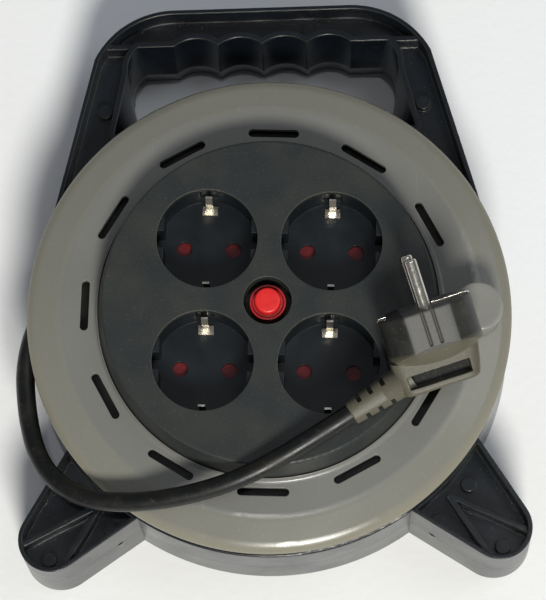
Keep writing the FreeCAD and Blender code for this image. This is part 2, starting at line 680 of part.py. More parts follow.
def bar(name, x, y, angle, length, width, low, high):
    """A straight rib that starts at a point and runs off at an angle."""
    part = block(name, 0 * length, length, 0 * width, width, low, high)
    part.Placement.Rotation = Rotation(Vector(0, 0, 1), float(angle))
    bind(part, Placement__Rotation__Angle=angle)
    return place(part, x + sine(angle) * width / 2, y - cosine(angle) * width / 2, low)


def window_corners(top, flat, side_x, side_y, low_x):
    """The hand hole: four finger arcs above, rounded corners, straight sides down to the ring."""
    right = [(low_x, d.window_low_y), (side_x, side_y), (flat, top, d.window_round),
             (d.finger_pitch * 2, top)]
    fingers = [(d.finger_pitch * step, top, d.finger_round) for step in (1, 0, -1, -2)]
    left = [(-flat, top), (-side_x, side_y, d.window_round), (-low_x, d.window_low_y)]
    return right + fingers + left


def lean(height):
    """How far an outside wall of the frame stands out at a height, beyond its place at the rim."""
    return d.frame_draft * (d.frame_rim - height) / d.frame_rim


def handle_corners(height):
    """The handle's outline at a height: two straight legs, two large corners and a straight top."""
    out = lean(height)
    foot_x, foot_y = from_ring(out - d.leg_foot_sink, d.leg_foot_angle)
    side_x = d.handle_side_x + out * cosine(d.leg_foot_angle)
    side_y = d.handle_side_y + out * sine(d.leg_foot_angle)
    return [
        (foot_x, foot_y),
        (side_x, side_y),
        (d.handle_flat, d.handle_top + out, d.handle_round + out),
        (-d.handle_flat, d.handle_top + out),
        (-side_x, side_y, d.handle_round + out),
        (-foot_x, foot_y),
    ]


def foot_corners(height):
    """The right foot's outline at a height: two edges that leave the ring and a round tip between them."""
    out = lean(height)
    radius = d.foot_round + out
    upper_x, upper_y = from_ring(-d.foot_root_sink, d.foot_root_upper - d.foot_root_fan * out)
    lower_x, lower_y = from_ring(-d.foot_root_sink, d.foot_root_lower + d.foot_root_fan * out)
    inner_x, inner_y = from_ring(-d.guide_reach, (d.foot_root_upper + d.foot_root_lower) / 2)
    tip_low = (d.foot_x + radius * cosine(d.foot_lower_angle), -d.foot_y - radius * sine(d.foot_lower_angle))
    tip_high = (d.foot_x + radius * cosine(d.foot_upper_angle),
                -d.foot_y + radius * sine(d.foot_upper_angle), radius)
    return [(lower_x, -lower_y), tip_low, tip_high, (upper_x, -upper_y), (inner_x, -inner_y)]


def loft(name, corners, low, high):
    """A solid between an outline at one height and the same outline as it is at another."""
    part = doc.addObject("Part::Loft", name)
    part.Sections = [plan(name + "_low", corners(low), low), plan(name + "_high", corners(high), high)]
    part.Solid = True
    part.Ruled = True
    return part


middle_window = window_corners(
    d.grip_middle_y, d.window_flat_middle, d.window_side_x_middle, d.window_side_y_middle,
    d.window_low_middle)
rim_window = window_corners(
    d.grip_front_y, d.window_flat_rim, d.window_side_x_rim, d.window_side_y_rim, d.window_low_rim)
rim_outline = plan("window_rim_outline", rim_window)
handle_inside = offset("handle_inside", plan("handle_rim_outline", handle_corners(d.frame_rim)), -d.rim_wall)
foot_inside = offset("foot_inside", plan("foot_rim_outline", foot_corners(d.frame_rim)), -d.rim_wall)
window_wall = offset("window_wall", rim_outline, d.rib_wall)

SCREWS_RIGHT = [
    (d.side_boss_x, d.side_boss_y),
    (d.foot_boss_x_1, -d.foot_boss_y_1),
    (d.foot_boss_x_2, -d.foot_boss_y_2),
    (d.foot_boss_x_3, -d.foot_boss_y_3),
]
FRAME_SCREWS = SCREWS_RIGHT + [(-x, y) for x, y in SCREWS_RIGHT] + [(d.grip_boss_x, d.grip_boss_y)]


def limbs(name, low, high):
    """Handle and feet as full blocks, outside the drum's bowl."""
    handle = loft(name + "_handle", handle_corners, low, high)
    foot = loft(name + "_foot", foot_corners, low, high)
    bowl = cylinder(name + "_bowl", d.ring_radius - d.frame_skin, low, high)
    return cut(name + "_limbs", fuse(name + "_blocks", [handle, foot, mirrored(name + "_left_foot", foot)]),
               [bowl])


def hollows(name, low, high, ring_cover):
    """The space inside the handle's and the feet's walls, outside a covered ring."""
    handle = slab(name + "_handle_inside", handle_inside, low, high)
    window = slab(name + "_window_inside", window_wall, low, high)
    foot = slab(name + "_foot_inside", foot_inside, low, high)
    ring = cylinder(name + "_ring_inside", ring_cover, low, high)
    both = fuse(name + "_insides", [cut(name + "_grip_inside", handle, [window]), foot,
                                    mirrored(name + "_left_inside", foot)])
    return cut(name, both, [ring])


def hand_hole(name, rim_height):
    """The hand hole's half between the parting and a rim, wider at the rim."""
    middle = plan(name + "_middle", middle_window, d.frame_parting)
    rim = plan(name + "_rim", rim_window, rim_height)
    part = doc.addObject("Part::Loft", name + "_loft")
    part.Sections = [middle, rim]
    part.Solid = True
    part.Ruled = True
    ring = cylinder(name + "_ring", d.ring_radius + d.ring_cover, 0 * d.frame_rim, d.frame_rim)
    return cut(name, part, [ring])


def ring_outside(height):
    """The ring's outer radius at a height."""
    return d.ring_radius - d.frame_draft + lean(height)


def columns(name, spots, radius, low, high):
    """Equal round pieces at several spots."""
    return [cylinder("%s_%d" % (name, i + 1), radius, low, high, x, y) for i, (x, y) in enumerate(spots)]


def screws(name, spots, radius, head, seat, length, head_height=d.screw_head_height):
    """A group of equal screws that point up, heads below the seat; a negative length points them down."""
    pieces = []
    turned_over = float(length) < 0
    for index, (x, y) in enumerate(spots):
        tag = "%s_%d" % (name, index + 1)
        if turned_over:
            shank = cylinder(tag + "_shank", radius, seat + length, seat, x, y)
            top = cylinder(tag + "_head", head, seat, seat + head_height, x, y)
        else:
            shank = cylinder(tag + "_shank", radius, seat, seat + length, x, y)
            top = cylinder(tag + "_head", head, seat - head_height, seat, x, y)
        pieces.append(fuse(tag, [shank, top]))
    return group(name, pieces)


pan_floor = d.frame_rim - d.pan_depth
rib_top = d.frame_rim - d.rib_drop
guide_low = d.frame_rim - d.guide_height

front_ring = turned("front_ring", [
    (ring_outside(d.frame_parting) - d.frame_skin, d.frame_parting),
    (ring_outside(d.frame_parting), d.frame_parting),
    (ring_outside(d.frame_rim), d.frame_rim),
    (d.guide_radius, d.frame_rim),
    (d.guide_radius, d.frame_rim - d.guide_height / 2),
    (ring_outside(guide_low) - d.frame_skin, guide_low),
])
round_edges(front_ring, "cord_guide_round", d.guide_round,
            lambda e: circle_at(e, d.guide_radius, d.frame_rim))
round_edges(front_ring, "rim_outside_round", d.rim_round, lambda e: (
    circle_at(e, ring_outside(d.frame_rim), d.frame_rim)))
pans = hollows("pans", pan_floor, d.frame_rim, ring_outside(d.frame_rim) + d.ring_cover)
ribs = []
for side, sign in (("right", 1), ("left", -1)):
    corner_low = d.grip_front_y
    inner, outer = sorted((sign * d.finger_pitch * 2, sign * d.handle_side_x), key=float)
    ribs.append(block(side + "_corner_rib", inner, outer, corner_low, corner_low + d.rib_wall, pan_floor,
                      rib_top))
    for number, angle, length in (
        (1, d.foot_rib_angle_1, d.foot_rib_length_1),
        (2, d.foot_rib_angle_2, d.foot_rib_length_2),
    ):
        heading = -angle if sign > 0 else angle + 180
        ribs.append(bar("%s_foot_rib_%d" % (side, number), sign * d.foot_rib_x, -d.foot_rib_y, heading,
                        length,
                        d.rib_wall, pan_floor, rib_top))
pan_ribs = common("pan_ribs", fuse("rib_bars", ribs), pans)
front_bosses = columns("front_boss", FRAME_SCREWS, d.boss_radius, d.frame_parting, pan_floor + d.boss_stand)
frame_front = keep(cut("frame_front", fuse("front_with_bosses", [
    cut("front_shell", fuse("front_full", [front_ring, limbs("front", d.frame_parting, d.frame_rim)]), [
        hand_hole("front_hand_hole", d.frame_rim),
        pans,
        hollows("front_hollows", d.frame_parting, pan_floor - d.frame_skin,
                ring_outside(d.frame_parting) + d.ring_cover),
    ]),
    pan_ribs,
] + front_bosses), columns(
    "front_pilot", FRAME_SCREWS, d.frame_screw_radius + d.screw_slack, d.frame_parting, pan_floor)),
    on_drum=False)

back_ring = turned("back_ring", [
    (0, 0),
    (d.ring_radius, 0),
    (ring_outside(d.frame_parting), d.frame_parting),
    (ring_outside(d.frame_parting) - d.frame_skin, d.frame_parting),
    (ring_outside(d.frame_skin) - d.frame_skin, d.frame_skin),
    (d.thrust_radius, d.frame_skin),
    (d.thrust_radius, d.thrust_top),
    (d.stub_radius, d.thrust_top),
    (d.stub_radius, d.stub_top),
    (0, d.stub_top),
])
frame_back = keep(cut("frame_back", fuse("back_with_pillars", [
    cut("back_shell", fuse("back_full", [back_ring, limbs("back", 0 * d.frame_parting, d.frame_parting)]), [
        hand_hole("back_hand_hole", 0 * d.frame_rim),
        hollows("back_hollows", d.frame_skin, d.frame_parting, d.ring_radius + d.ring_cover),
    ]),
] + columns("back_pillar", FRAME_SCREWS, d.pillar_radius, d.frame_skin / 2, d.frame_parting)),
    columns("back_counterbore", FRAME_SCREWS, d.frame_screw_head + d.part_gap, 0 * d.screw_seat,
            d.screw_seat)
    + columns("back_through", FRAME_SCREWS, d.frame_screw_radius + d.screw_slack, d.screw_seat,
              d.frame_parting)
    + [cylinder("axle_pilot", d.axle_screw_radius + d.screw_slack, d.thrust_top,
                d.stub_top)]), on_drum=False)
keep(screws("frame_screws", FRAME_SCREWS, d.frame_screw_radius, d.frame_screw_head, d.screw_seat,
            d.frame_screw_length), on_drum=False)

washer_top = d.stub_top + d.washer_thickness
keep(cut("retaining_washer", cylinder("washer_disc", d.washer_radius, d.stub_top, washer_top), [
    cylinder("washer_hole", d.axle_screw_radius + d.screw_slack, d.stub_top, washer_top)]), on_drum=False)
keep(screws("axle_screw", [(0 * d.drum_wall, 0 * d.drum_wall)], d.axle_screw_radius, d.axle_screw_head,
            washer_top,
            -d.axle_screw_length), on_drum=False)

# Drum, two mouldings on the bearing stub

CORNER_SIGNS = [(1, 1), (-1, 1), (-1, -1), (1, -1)]
DRUM_SCREWS = [(a * d.drum_boss_x, b * d.drum_boss_y) for a, b in CORNER_SIGNS]
QUARTERS = [(1, 0), (0, 1), (-1, 0), (0, -1)]
PLATE_SCREWS = [(a * d.plate_screw_distance, b * d.plate_screw_distance) for a, b in QUARTERS]
hub_inside = d.hub_radius - d.drum_wall
web_top = d.rear_flange_low + d.drum_wall
drum_screw_seat = d.rear_flange_low + d.screw_head_height * 2
clamp_seat = d.entry_height + d.cord_radius
CLAMP_SCREWS = [(-d.clamp_distance, -d.clamp_screw_offset), (-d.clamp_distance, d.clamp_screw_offset)]


def lying_cylinder(name, radius, left, length, height, y=0):
    """A round piece along X."""
    part = cylinder(name, radius, 0 * length, length)
    part.Placement.Rotation = Rotation(Vector(0, 1, 0), 90)
    return place(part, left, y, height)


drum_back_shell = turned("drum_back_shell", [
    (d.stub_radius + d.running_gap, d.thrust_top + d.end_play),
    (d.bearing_radius, d.thrust_top + d.end_play),
    (d.bearing_radius, d.rear_flange_low),
    (d.rear_flange_radius, d.rear_flange_low),
    (d.rear_flange_radius, web_top),
    (d.hub_radius, web_top),
    (d.hub_radius, d.drum_parting),
    (hub_inside, d.drum_parting),
    (hub_inside, web_top),
    (d.bearing_radius, web_top),
    (d.bearing_radius, d.stub_top - d.end_play),
    (d.stub_radius + d.running_gap, d.stub_top - d.end_play),
])
entry_hole = lying_cylinder("entry_hole", d.cord_radius + d.part_gap, -d.hub_radius - d.drum_wall,
                            d.drum_wall * 3, d.entry_height)
keep(cut("drum_back", fuse("drum_back_full", [drum_back_shell]
     + columns("back_boss", DRUM_SCREWS, d.drum_boss_radius, d.rear_flange_low, d.drum_parting)
     + columns("clamp_post", CLAMP_SCREWS, d.clamp_width / 2, d.rear_flange_low, clamp_seat)), [entry_hole]
     + columns("drum_counterbore", DRUM_SCREWS, d.drum_screw_head + d.part_gap, d.rear_flange_low,
               drum_screw_seat)
     + columns("drum_through", DRUM_SCREWS, d.drum_screw_radius + d.screw_slack, drum_screw_seat,
               d.drum_parting)
     + columns("clamp_pilot", CLAMP_SCREWS, d.clamp_screw_radius + d.screw_slack, web_top, clamp_seat)))

flange_under = d.front_flange_top - d.drum_wall
half_slope = d.slope_angle / 2
bend_share = sine(half_slope) / cosine(half_slope)
bend_reach = d.slope_bend * bend_share
lip_inner_radius = d.lip_radius - d.drum_wall * sine(d.lip_angle)
lip_inner_height = d.lip_top - d.drum_wall * cosine(d.lip_angle)
collar_inside = d.plate_radius + d.plate_slack
collar_edge = collar_inside + d.collar_width
drum_front_shell = turned("drum_front_shell", [
    (hub_inside, d.drum_parting),
    (d.hub_radius, d.drum_parting),
    (d.hub_radius, flange_under),
    (d.front_flat_radius - d.drum_wall * bend_share, flange_under),
    (d.slope_radius - d.drum_wall * sine(d.slope_angle), d.slope_low - d.drum_wall * cosine(d.slope_angle)),
    (lip_inner_radius, lip_inner_height, -(d.lip_section - d.drum_wall)),
    (d.lip_radius, d.lip_top),
    (d.slope_radius, d.slope_low, d.lip_section),
    (d.front_flat_radius + bend_reach * cosine(d.slope_angle),
     d.front_flange_top - bend_reach * sine(d.slope_angle)),
    (d.front_flat_radius - bend_reach, d.front_flange_top, d.slope_bend),
    (collar_edge + d.collar_height, d.front_flange_top),
    (collar_edge, d.front_flange_top + d.collar_height, -d.collar_height),
    (collar_inside, d.front_flange_top + d.collar_height),
    (collar_inside, d.plate_seat),
    (hub_inside, d.plate_seat),
])
round_edges(drum_front_shell, "lip_round_edges", d.lip_round, lambda e: (
    circle_at(e, d.lip_radius, d.lip_top) or circle_at(e, lip_inner_radius, lip_inner_height)))

slot_step = 360 / d.slot_count


def slot(index):
    """One slot along a tangent, with round ends."""
    angle = slot_step * index
    half = (d.slot_length - d.slot_width) / 2
    away = [(d.slot_radius * cosine(angle) + sine(angle) * half * end,
             d.slot_radius * sine(angle) - cosine(angle) * half * end) for end in (1, -1)]
    tag = "slot_%d" % index
    ends = columns(tag + "_end", away, d.slot_width / 2, flange_under - d.overrun,
                   d.front_flange_top + d.overrun)
    span = bar(tag + "_span", away[0][0], away[0][1], angle + 90, half * 2, d.slot_width,
               flange_under - d.overrun,
               d.front_flange_top + d.overrun)
    return ends + [span]


slots = [piece for index in range(1, int(float(d.slot_count))) for piece in slot(index)]
lug_low = d.lug_top - d.lug_height
lugs = columns("lug", PLATE_SCREWS, d.lug_radius, lug_low, d.lug_top)
for index, (a, b) in enumerate(QUARTERS):
    start = bar("lug_web_%d" % (index + 1), a * d.plate_screw_distance, b * d.plate_screw_distance,
                Size(90 * index, str(90 * index)), hub_inside + d.drum_wall / 2 - d.plate_screw_distance,
                d.lug_radius * 2, lug_low, d.lug_top)
    lugs.append(start)
knob_seat = d.front_flange_top + d.knob_boss_rise
knob_boss_low = knob_seat - d.knob_boss_height
zero = 0 * d.drum_wall
keep(cut("drum_front", fuse("drum_front_full", [drum_front_shell] + lugs
     + columns("front_drum_boss", DRUM_SCREWS, d.drum_boss_radius, d.drum_parting, d.front_boss_top)
     + [cylinder("knob_boss", d.knob_boss_radius, knob_boss_low, knob_seat, d.knob_distance, zero)]), slots
     + columns("drum_pilot", DRUM_SCREWS, d.drum_screw_radius + d.screw_slack, d.drum_parting,
               d.front_boss_top - d.overrun)
     + columns("lug_hole", PLATE_SCREWS, d.plate_screw_radius + d.screw_slack, lug_low, d.lug_top)
     + [cylinder("knob_pin_hole", d.pin_radius + d.running_gap, knob_boss_low, knob_seat, d.knob_distance,
                 zero)]))
keep(screws("drum_screws", DRUM_SCREWS, d.drum_screw_radius, d.drum_screw_head, drum_screw_seat,
            d.drum_screw_length))

# Winding knob on its pin


def at_knob(body):
    return place(body, d.knob_distance * cosine(d.drum_turn), d.knob_distance * sine(d.drum_turn), zero)


knob_low = knob_seat + d.end_play
pin_head_top = d.pin_head_low + d.pin_head_height
cavity_radius = d.pin_head_radius + d.pin_head_room
cavity_low = d.pin_head_low - d.end_play
winding_knob = turned("winding_knob", [
    (d.pin_radius + d.running_gap, knob_low),
    (d.knob_radius, knob_low),
    (d.knob_radius, d.knob_top),
    (0, d.knob_top),
    (0, pin_head_top + d.pin_head_room),
    (cavity_radius, pin_head_top + d.pin_head_room),
    (cavity_radius, cavity_low),
    (d.pin_radius + d.running_gap, cavity_low),
])
round_edges(winding_knob, "knob_round_edge", d.knob_round, lambda e: circle_at(e, d.knob_radius, d.knob_top))
knob_pin = turned("knob_pin", [
    (0, knob_boss_low - d.pin_foot_height),
    (d.pin_foot_radius, knob_boss_low - d.pin_foot_height),
    (d.pin_foot_radius, knob_boss_low),
    (d.pin_radius, knob_boss_low),
    (d.pin_radius, d.pin_head_low),
    (d.pin_head_radius, d.pin_head_low),
    (d.pin_head_radius, pin_head_top),
    (0, pin_head_top),
])
for body in (winding_knob, knob_pin):
    keep(at_knob(body), on_drum=False)

# Socket plate with round holes, and a cup under each hole

SOCKETS = [(a * d.socket_offset, b * d.socket_offset) for a, b in CORNER_SIGNS]
POSTS = [(zero, d.post_distance_y), (-d.post_distance_x, zero), (zero, -d.post_distance_y),
         (d.post_distance_x, zero)]
recess_floor = d.plate_top - d.recess_depth
floor_low = recess_floor - d.recess_wall
face_low = d.plate_top - d.plate_wall
cup_radius = d.recess_radius + d.recess_wall
plate_shell = turned("plate_shell", [
    (d.plate_radius - d.plate_wall, d.plate_seat),
    (d.plate_radius, d.plate_seat),
    (d.plate_top_radius, d.plate_top),
    (0, d.plate_top),
    (0, face_low),
    (d.plate_top_radius - d.plate_wall, face_low),
])
round_edges(plate_shell, "plate_round_edge", d.plate_round,
            lambda e: circle_at(e, d.plate_top_radius, d.plate_top))


def recess(index, x, y):
    """What one plug takes out of its cup."""
    tag = "recess_%d" % (index + 1)
    above = face_low + d.overrun
    round_part = cylinder(tag + "_round", d.recess_radius, recess_floor, above, x, y)
    flats = []
    openings = []
    for side, sign in (("right", 1), ("left", -1)):
        low, high = sorted((x + sign * d.flat_distance, x + sign * (d.recess_radius + d.overrun)), key=float)
        flats.append(block("%s_flat_%s" % (tag, side), low, high, y - d.flat_half_width,
                           y + d.flat_half_width,
                           recess_floor - d.overrun, above + d.overrun))
        low, high = sorted((x + sign * (d.flat_distance - d.overrun), x + sign * d.notch_reach), key=float)
        openings.append(block("%s_notch_%s" % (tag, side), low, high, y - d.notch_width / 2,
                              y + d.notch_width / 2,
                              recess_floor, above))
        openings.append(cylinder("%s_pin_%s" % (tag, side), d.pin_hole_radius, floor_low, recess_floor,
                                 x + sign * d.contact_pitch / 2, y))
        near, far = sorted((y + sign * (d.clip_pinch - d.clip_slot_room), y + sign * d.clip_slot_reach),
                           key=float)
        openings.append(block("%s_clip_%s" % (tag, side), x - d.clip_slot_width / 2,
                              x + d.clip_slot_width / 2,
                              near, far, recess_floor, above))
        arm = y + sign * (d.clip_reach - d.strip_thickness / 2)
        reach = d.strip_thickness / 2 + d.part_gap
        openings.append(block("%s_arm_%s" % (tag, side), x - d.strip_width / 2 - d.part_gap,
                              x + d.strip_width / 2 + d.part_gap, arm - reach, arm + reach, floor_low,
                              recess_floor))
    return fuse(tag, [cut(tag + "_body", round_part, flats)] + openings)


well_floor_low = d.well_floor_top - d.well_wall
plate_bosses = columns("plate_boss", PLATE_SCREWS, d.lug_radius, d.lug_top, face_low + d.overrun)
carrier_bosses = columns("carrier_boss", POSTS, d.post_radius, d.carrier_top, face_low + d.overrun)
keep(cut("socket_plate", fuse("plate_full", [plate_shell] + plate_bosses + carrier_bosses
     + [cylinder("button_well", d.well_radius + d.well_wall, well_floor_low, face_low + d.overrun)]),
     columns("socket_hole", SOCKETS, d.recess_radius, face_low - d.overrun, d.plate_top + d.overrun)
     + columns("plate_pilot", PLATE_SCREWS, d.plate_screw_radius + d.screw_slack, d.lug_top,
               d.lug_top + d.plate_pilot_depth)
     + columns("carrier_pilot", POSTS, d.plate_screw_radius + d.screw_slack, d.carrier_top,
               d.carrier_top + d.carrier_pilot_depth)
     + [cylinder("button_bore", d.well_radius, d.well_floor_top, d.plate_top + d.overrun),
        cylinder("stem_bore", d.stem_radius + d.stem_play, well_floor_low, d.well_floor_top)]))
for index, (x, y) in enumerate(SOCKETS):
    tag = "socket_cup_%d" % (index + 1)
    rooms = columns(tag + "_boss_room", POSTS, d.post_radius + d.plate_slack, floor_low, face_low)
    keep(cut(tag, cylinder(tag + "_full", cup_radius, floor_low, face_low, x, y),
             [recess(index, x, y)] + rooms))
keep(screws("plate_screws", PLATE_SCREWS, d.plate_screw_radius, d.plate_screw_head, lug_low,
            d.plate_screw_length))

# Contacts, their carrier and its cover

live_x = (-d.socket_offset - d.contact_pitch / 2, d.socket_offset - d.contact_pitch / 2)
neutral_x = (-live_x[1], -live_x[0])
sleeve_spots = [(x, b * d.socket_offset) for x in live_x + neutral_x for b in (1, -1)]
bar_top = d.cover_top + d.bar_thickness
carrier_low = d.carrier_top - d.carrier_height
strip_low = d.carrier_top - d.strip_thickness
earth_low = strip_low - d.strip_thickness
cover_low = d.cover_top - d.cover_thickness


def contact_bar(name, columns_x, side):
    """Two strips with a sleeve under each pin hole, linked beyond the sockets on one side."""
    half = d.bar_width / 2
    near = -side * (d.socket_offset + half)
    far = side * (d.link_distance + half)
    low, high = sorted((near, far), key=float)
    pieces = [block("%s_strip_%d" % (name, i + 1), x - half, x + half, low, high, d.cover_top, bar_top)
              for i, x in enumerate(columns_x)]
    link = side * d.link_distance
    pieces.append(block(name + "_link", columns_x[0] - half, columns_x[1] + half, link - half, link + half,
                        d.cover_top, bar_top))
    spots = [(x, b * d.socket_offset) for x in columns_x for b in (1, -1)]
    pieces += columns(name + "_sleeve", spots, d.sleeve_radius, d.cover_top, d.sleeve_top)
    return pieces, columns(name + "_bore", spots, d.sleeve_bore, bar_top, d.sleeve_top + d.overrun)


live_pieces, live_bores = contact_bar("live", live_x, 1)
live_tab_start = live_x[1] - d.cutout_half_width
live_pieces.append(block("live_tab", live_tab_start, live_x[1], -d.bar_width / 2, d.bar_width / 2,
                         d.cover_top, d.cutout_low))
keep(cut("live_bar", fuse("live_full", live_pieces), live_bores))
neutral_pieces, neutral_bores = contact_bar("neutral", neutral_x, -1)
keep(cut("neutral_bar", fuse("neutral_full", neutral_pieces), neutral_bores))

earth_half = d.earth_bar_width / 2
earth_reach = d.socket_offset + d.strip_width / 2
keep(fuse("earth_bar", [
    block("earth_strip_%d" % (i + 1), -earth_reach, earth_reach, b * d.earth_bar_offset - earth_half,
          b * d.earth_bar_offset + earth_half, earth_low, strip_low) for i, b in enumerate((1, -1))
] + [block("earth_link", d.earth_link_x - earth_half, d.earth_link_x + earth_half, -d.earth_bar_offset,
           d.earth_bar_offset, earth_low, strip_low)]))


def clip_arm(name, x, y, sign):
    """One arm of an earth clip: up through the floor, in towards the plug, out again at the tip."""
    thin = d.strip_thickness
    outer = [(d.clip_reach, strip_low), (d.clip_reach, d.clip_bend_height),
             (d.clip_pinch, d.clip_pinch_height),
             (d.clip_reach, d.clip_tip_height)]
    inner = [(reach - thin, height) for reach, height in reversed(outer)]
    side = [(y + sign * reach, height) for reach, height in outer + inner]
    body = doc.addObject("PartDesign::Body", name)
    sketch = body_sketch(body, name + "_side", "YZ_Plane", side, x)
    pad = body.newObject("PartDesign::Pad", name + "_pad")
    pad.Profile = sketch
    pad.Midplane = True
    bind(pad, Length=d.clip_tip_width)
    body.Tip = pad
    return body


for index, (x, y) in enumerate(SOCKETS):
    tag = "earth_clip_%d" % (index + 1)
    half = d.strip_width / 2
    pieces = [block(tag + "_base", x - half, x + half, y - d.clip_reach, y + d.clip_reach, strip_low,
                    d.carrier_top)]
    for side, sign in (("upper", 1), ("lower", -1)):
        pieces.append(clip_arm("%s_%s_arm" % (tag, side), x, y, sign))
        low, high = sorted((y + sign * (d.clip_reach - d.strip_thickness), y + sign * d.clip_reach),
                           key=float)
        pieces.append(block("%s_%s_root" % (tag, side), x - half, x + half, low, high, strip_low,
                            recess_floor + d.strip_thickness))
    tab_low = y + d.clip_reach - d.clip_tab
    pieces.append(block(tag + "_tab", x - half, x + half, tab_low, y + d.clip_reach, recess_floor,
                        recess_floor + d.strip_thickness))
    keep(fuse(tag, pieces))

carrier_cuts = columns("sleeve_hole", sleeve_spots, d.sleeve_radius + d.part_gap, carrier_low, d.carrier_top)
carrier_cuts += columns("carrier_screw_hole", POSTS, d.plate_screw_radius + d.screw_slack, carrier_low,
                        d.carrier_top)
carrier_cuts += columns("lug_room", PLATE_SCREWS, d.lug_radius + d.part_gap, carrier_low, d.carrier_top)
room = d.cutout_half_width + d.part_gap
carrier_cuts.append(block("cutout_room", -room, room, -room, room, carrier_low, d.carrier_top))
for index, (x, y) in enumerate(SOCKETS):
    half = d.strip_width / 2
    carrier_cuts.append(block("clip_groove_%d" % (index + 1), x - half, x + half, y - d.clip_reach,
                              y + d.clip_reach,
                              strip_low, d.carrier_top))
for index, b in enumerate((1, -1)):
    carrier_cuts.append(block("earth_groove_%d" % (index + 1), -earth_reach, earth_reach,
                              b * d.earth_bar_offset - earth_half, b * d.earth_bar_offset + earth_half,
                              earth_low, d.carrier_top))
carrier_cuts.append(block("earth_link_groove", d.earth_link_x - earth_half, d.earth_link_x + earth_half,
                          -d.earth_bar_offset, d.earth_bar_offset, earth_low, d.carrier_top))
shutter_top = d.shutter_low + d.shutter_thickness
stop_half = d.strip_width / 2 + d.stop_side
stops = [block("shutter_stop_%d" % (i + 1), x - stop_half, x + stop_half, y + d.shutter_stop,
               y + d.shutter_stop + d.stop_thickness, d.carrier_top, shutter_top)
         for i, (x, y) in enumerate(SOCKETS)]

LEAD_NAMES = ("live", "neutral", "earth")
lead_ends = {
    "live": (d.live_lead_x, d.live_lead_y, d.cutout_low),
    "neutral": (neutral_x[0], d.neutral_lead_y, d.cover_top),
    "earth": (d.earth_lead_x, d.earth_bar_offset, earth_low),
}
lead_holes = [cylinder(name + "_lead_hole", d.lead_radius + d.part_gap, cover_low, d.carrier_top - d.overrun,
                       lead_ends[name][0], lead_ends[name][1]) for name in LEAD_NAMES]
carrier_plate = cut("carrier_plate", cylinder("carrier_disc", d.carrier_radius, carrier_low, d.carrier_top),
                    carrier_cuts + [lead_holes[2]])
keep(fuse("contact_carrier", [carrier_plate] + stops))
keep(cut("carrier_cover", fuse("cover_full", [cylinder("cover_disc", d.carrier_radius, cover_low,
                                                       d.cover_top)]
     + columns("cover_post", POSTS, d.post_radius, cover_low, carrier_low)),
    columns("cover_screw_hole", POSTS, d.plate_screw_radius + d.screw_slack, cover_low,
            carrier_low) + lead_holes))
keep(screws("carrier_screws", POSTS, d.plate_screw_radius, d.plate_screw_head, cover_low,
            d.carrier_screw_length))

# Thermal cut-out, its button and the button's spring

flange_top = d.carrier_top + d.cutout_flange_height
stem_room = d.stem_foot_radius + d.stem_play
foot_top = d.stem_foot_low + d.stem_foot_height
keep(cut("cutout_body", fuse("cutout_full", [
    block("cutout_case", -d.cutout_half_width, d.cutout_half_width, -d.cutout_half_width,
          d.cutout_half_width,
          d.cutout_low, flange_top),
    cylinder("cutout_neck", d.cutout_neck_radius, d.carrier_top, well_floor_low),
    block("cutout_flange_plate", -d.cutout_flange, d.cutout_flange, -d.cutout_flange, d.cutout_flange,
          d.carrier_top, flange_top),
]), [
    cylinder("stem_guide", d.stem_radius + d.stem_play, foot_top, well_floor_low),
    cylinder("stem_cavity", stem_room, d.stem_foot_low - d.button_travel - d.overrun, foot_top),
]))
keep(turned("reset_button", [
    (0, d.stem_foot_low),
    (d.stem_foot_radius, d.stem_foot_low),
    (d.stem_foot_radius, foot_top),
    (d.stem_radius, foot_top),
    (d.stem_radius, d.button_low),
    (d.button_radius, d.button_low),
    (d.button_radius, d.button_disc_top),
    (d.button_cap_radius, d.button_disc_top),
    (d.button_cap_radius, d.button_top),
    (0, d.button_top),
]))
wire = float(d.spring_wire)
spring_room = float(d.spring_room)
spring_height = float(d.button_low - d.well_floor_top) - 2 * (wire + spring_room)
spring_turns = 3
reset_coil = helix_tube(float(d.spring_radius), wire, spring_height / spring_turns, spring_turns, 0.0,
                        float(d.button_low) - wire - spring_room, wire * 2)[0]
keep(group("reset_spring", [feature("reset_coil", reset_coil)]))

# Shutters, each with its return spring

thin_wire = float(d.shutter_spring_wire)
coil_turns = 8
coil_room = float(d.shutter_stop - d.shutter_half_width) - 2 * (thin_wire + spring_room)
coil_height = (shutter_top + d.carrier_top) / 2
shutter_coil = helix_tube(float(d.shutter_spring_radius), thin_wire, coil_room / coil_turns, coil_turns, 0.0,
                          coil_room, thin_wire * 2)[0]
shutter_coil.rotate(Vector(0, 0, 0), Vector(1, 0, 0), -90)
for index, (x, y) in enumerate(SOCKETS):
    tag = "shutter_%d" % (index + 1)
    keep(group(tag, [block(tag + "_slide", x - d.shutter_half_length, x + d.shutter_half_length,
                           y - d.shutter_half_width, y + d.shutter_half_width, d.shutter_low, shutter_top)]))
    tag = "shutter_spring_%d" % (index + 1)
    keep(group(tag, [feature(tag + "_coil", shutter_coil.translated(Vector(
        float(x), float(y + d.shutter_half_width) + thin_wire + spring_room, float(coil_height))))]))

# Wound cord: the outer layer turns over a plain core of the layers below it

cord_radius = float(d.cord_radius)
core_radius = d.turn_radius - d.cord_radius - d.part_gap
core_low = web_top + d.part_gap
core_top = d.cord_leaves_height + d.cord_radius
winding, winding_path, cord_start, cord_heading = helix_tube(
    float(d.turn_radius), cord_radius, float(d.turn_pitch), float(d.turn_count), float(d.cord_leaves_angle),
    float(d.cord_leaves_height), 2 * cord_radius)
keep(feature("winding_turns", winding), on_drum=False)
keep(cut("winding_core", cylinder("core_full", core_radius, core_low, core_top), [
    cylinder("core_bore", d.hub_radius + d.part_gap, core_low, core_top)]), on_drum=False)


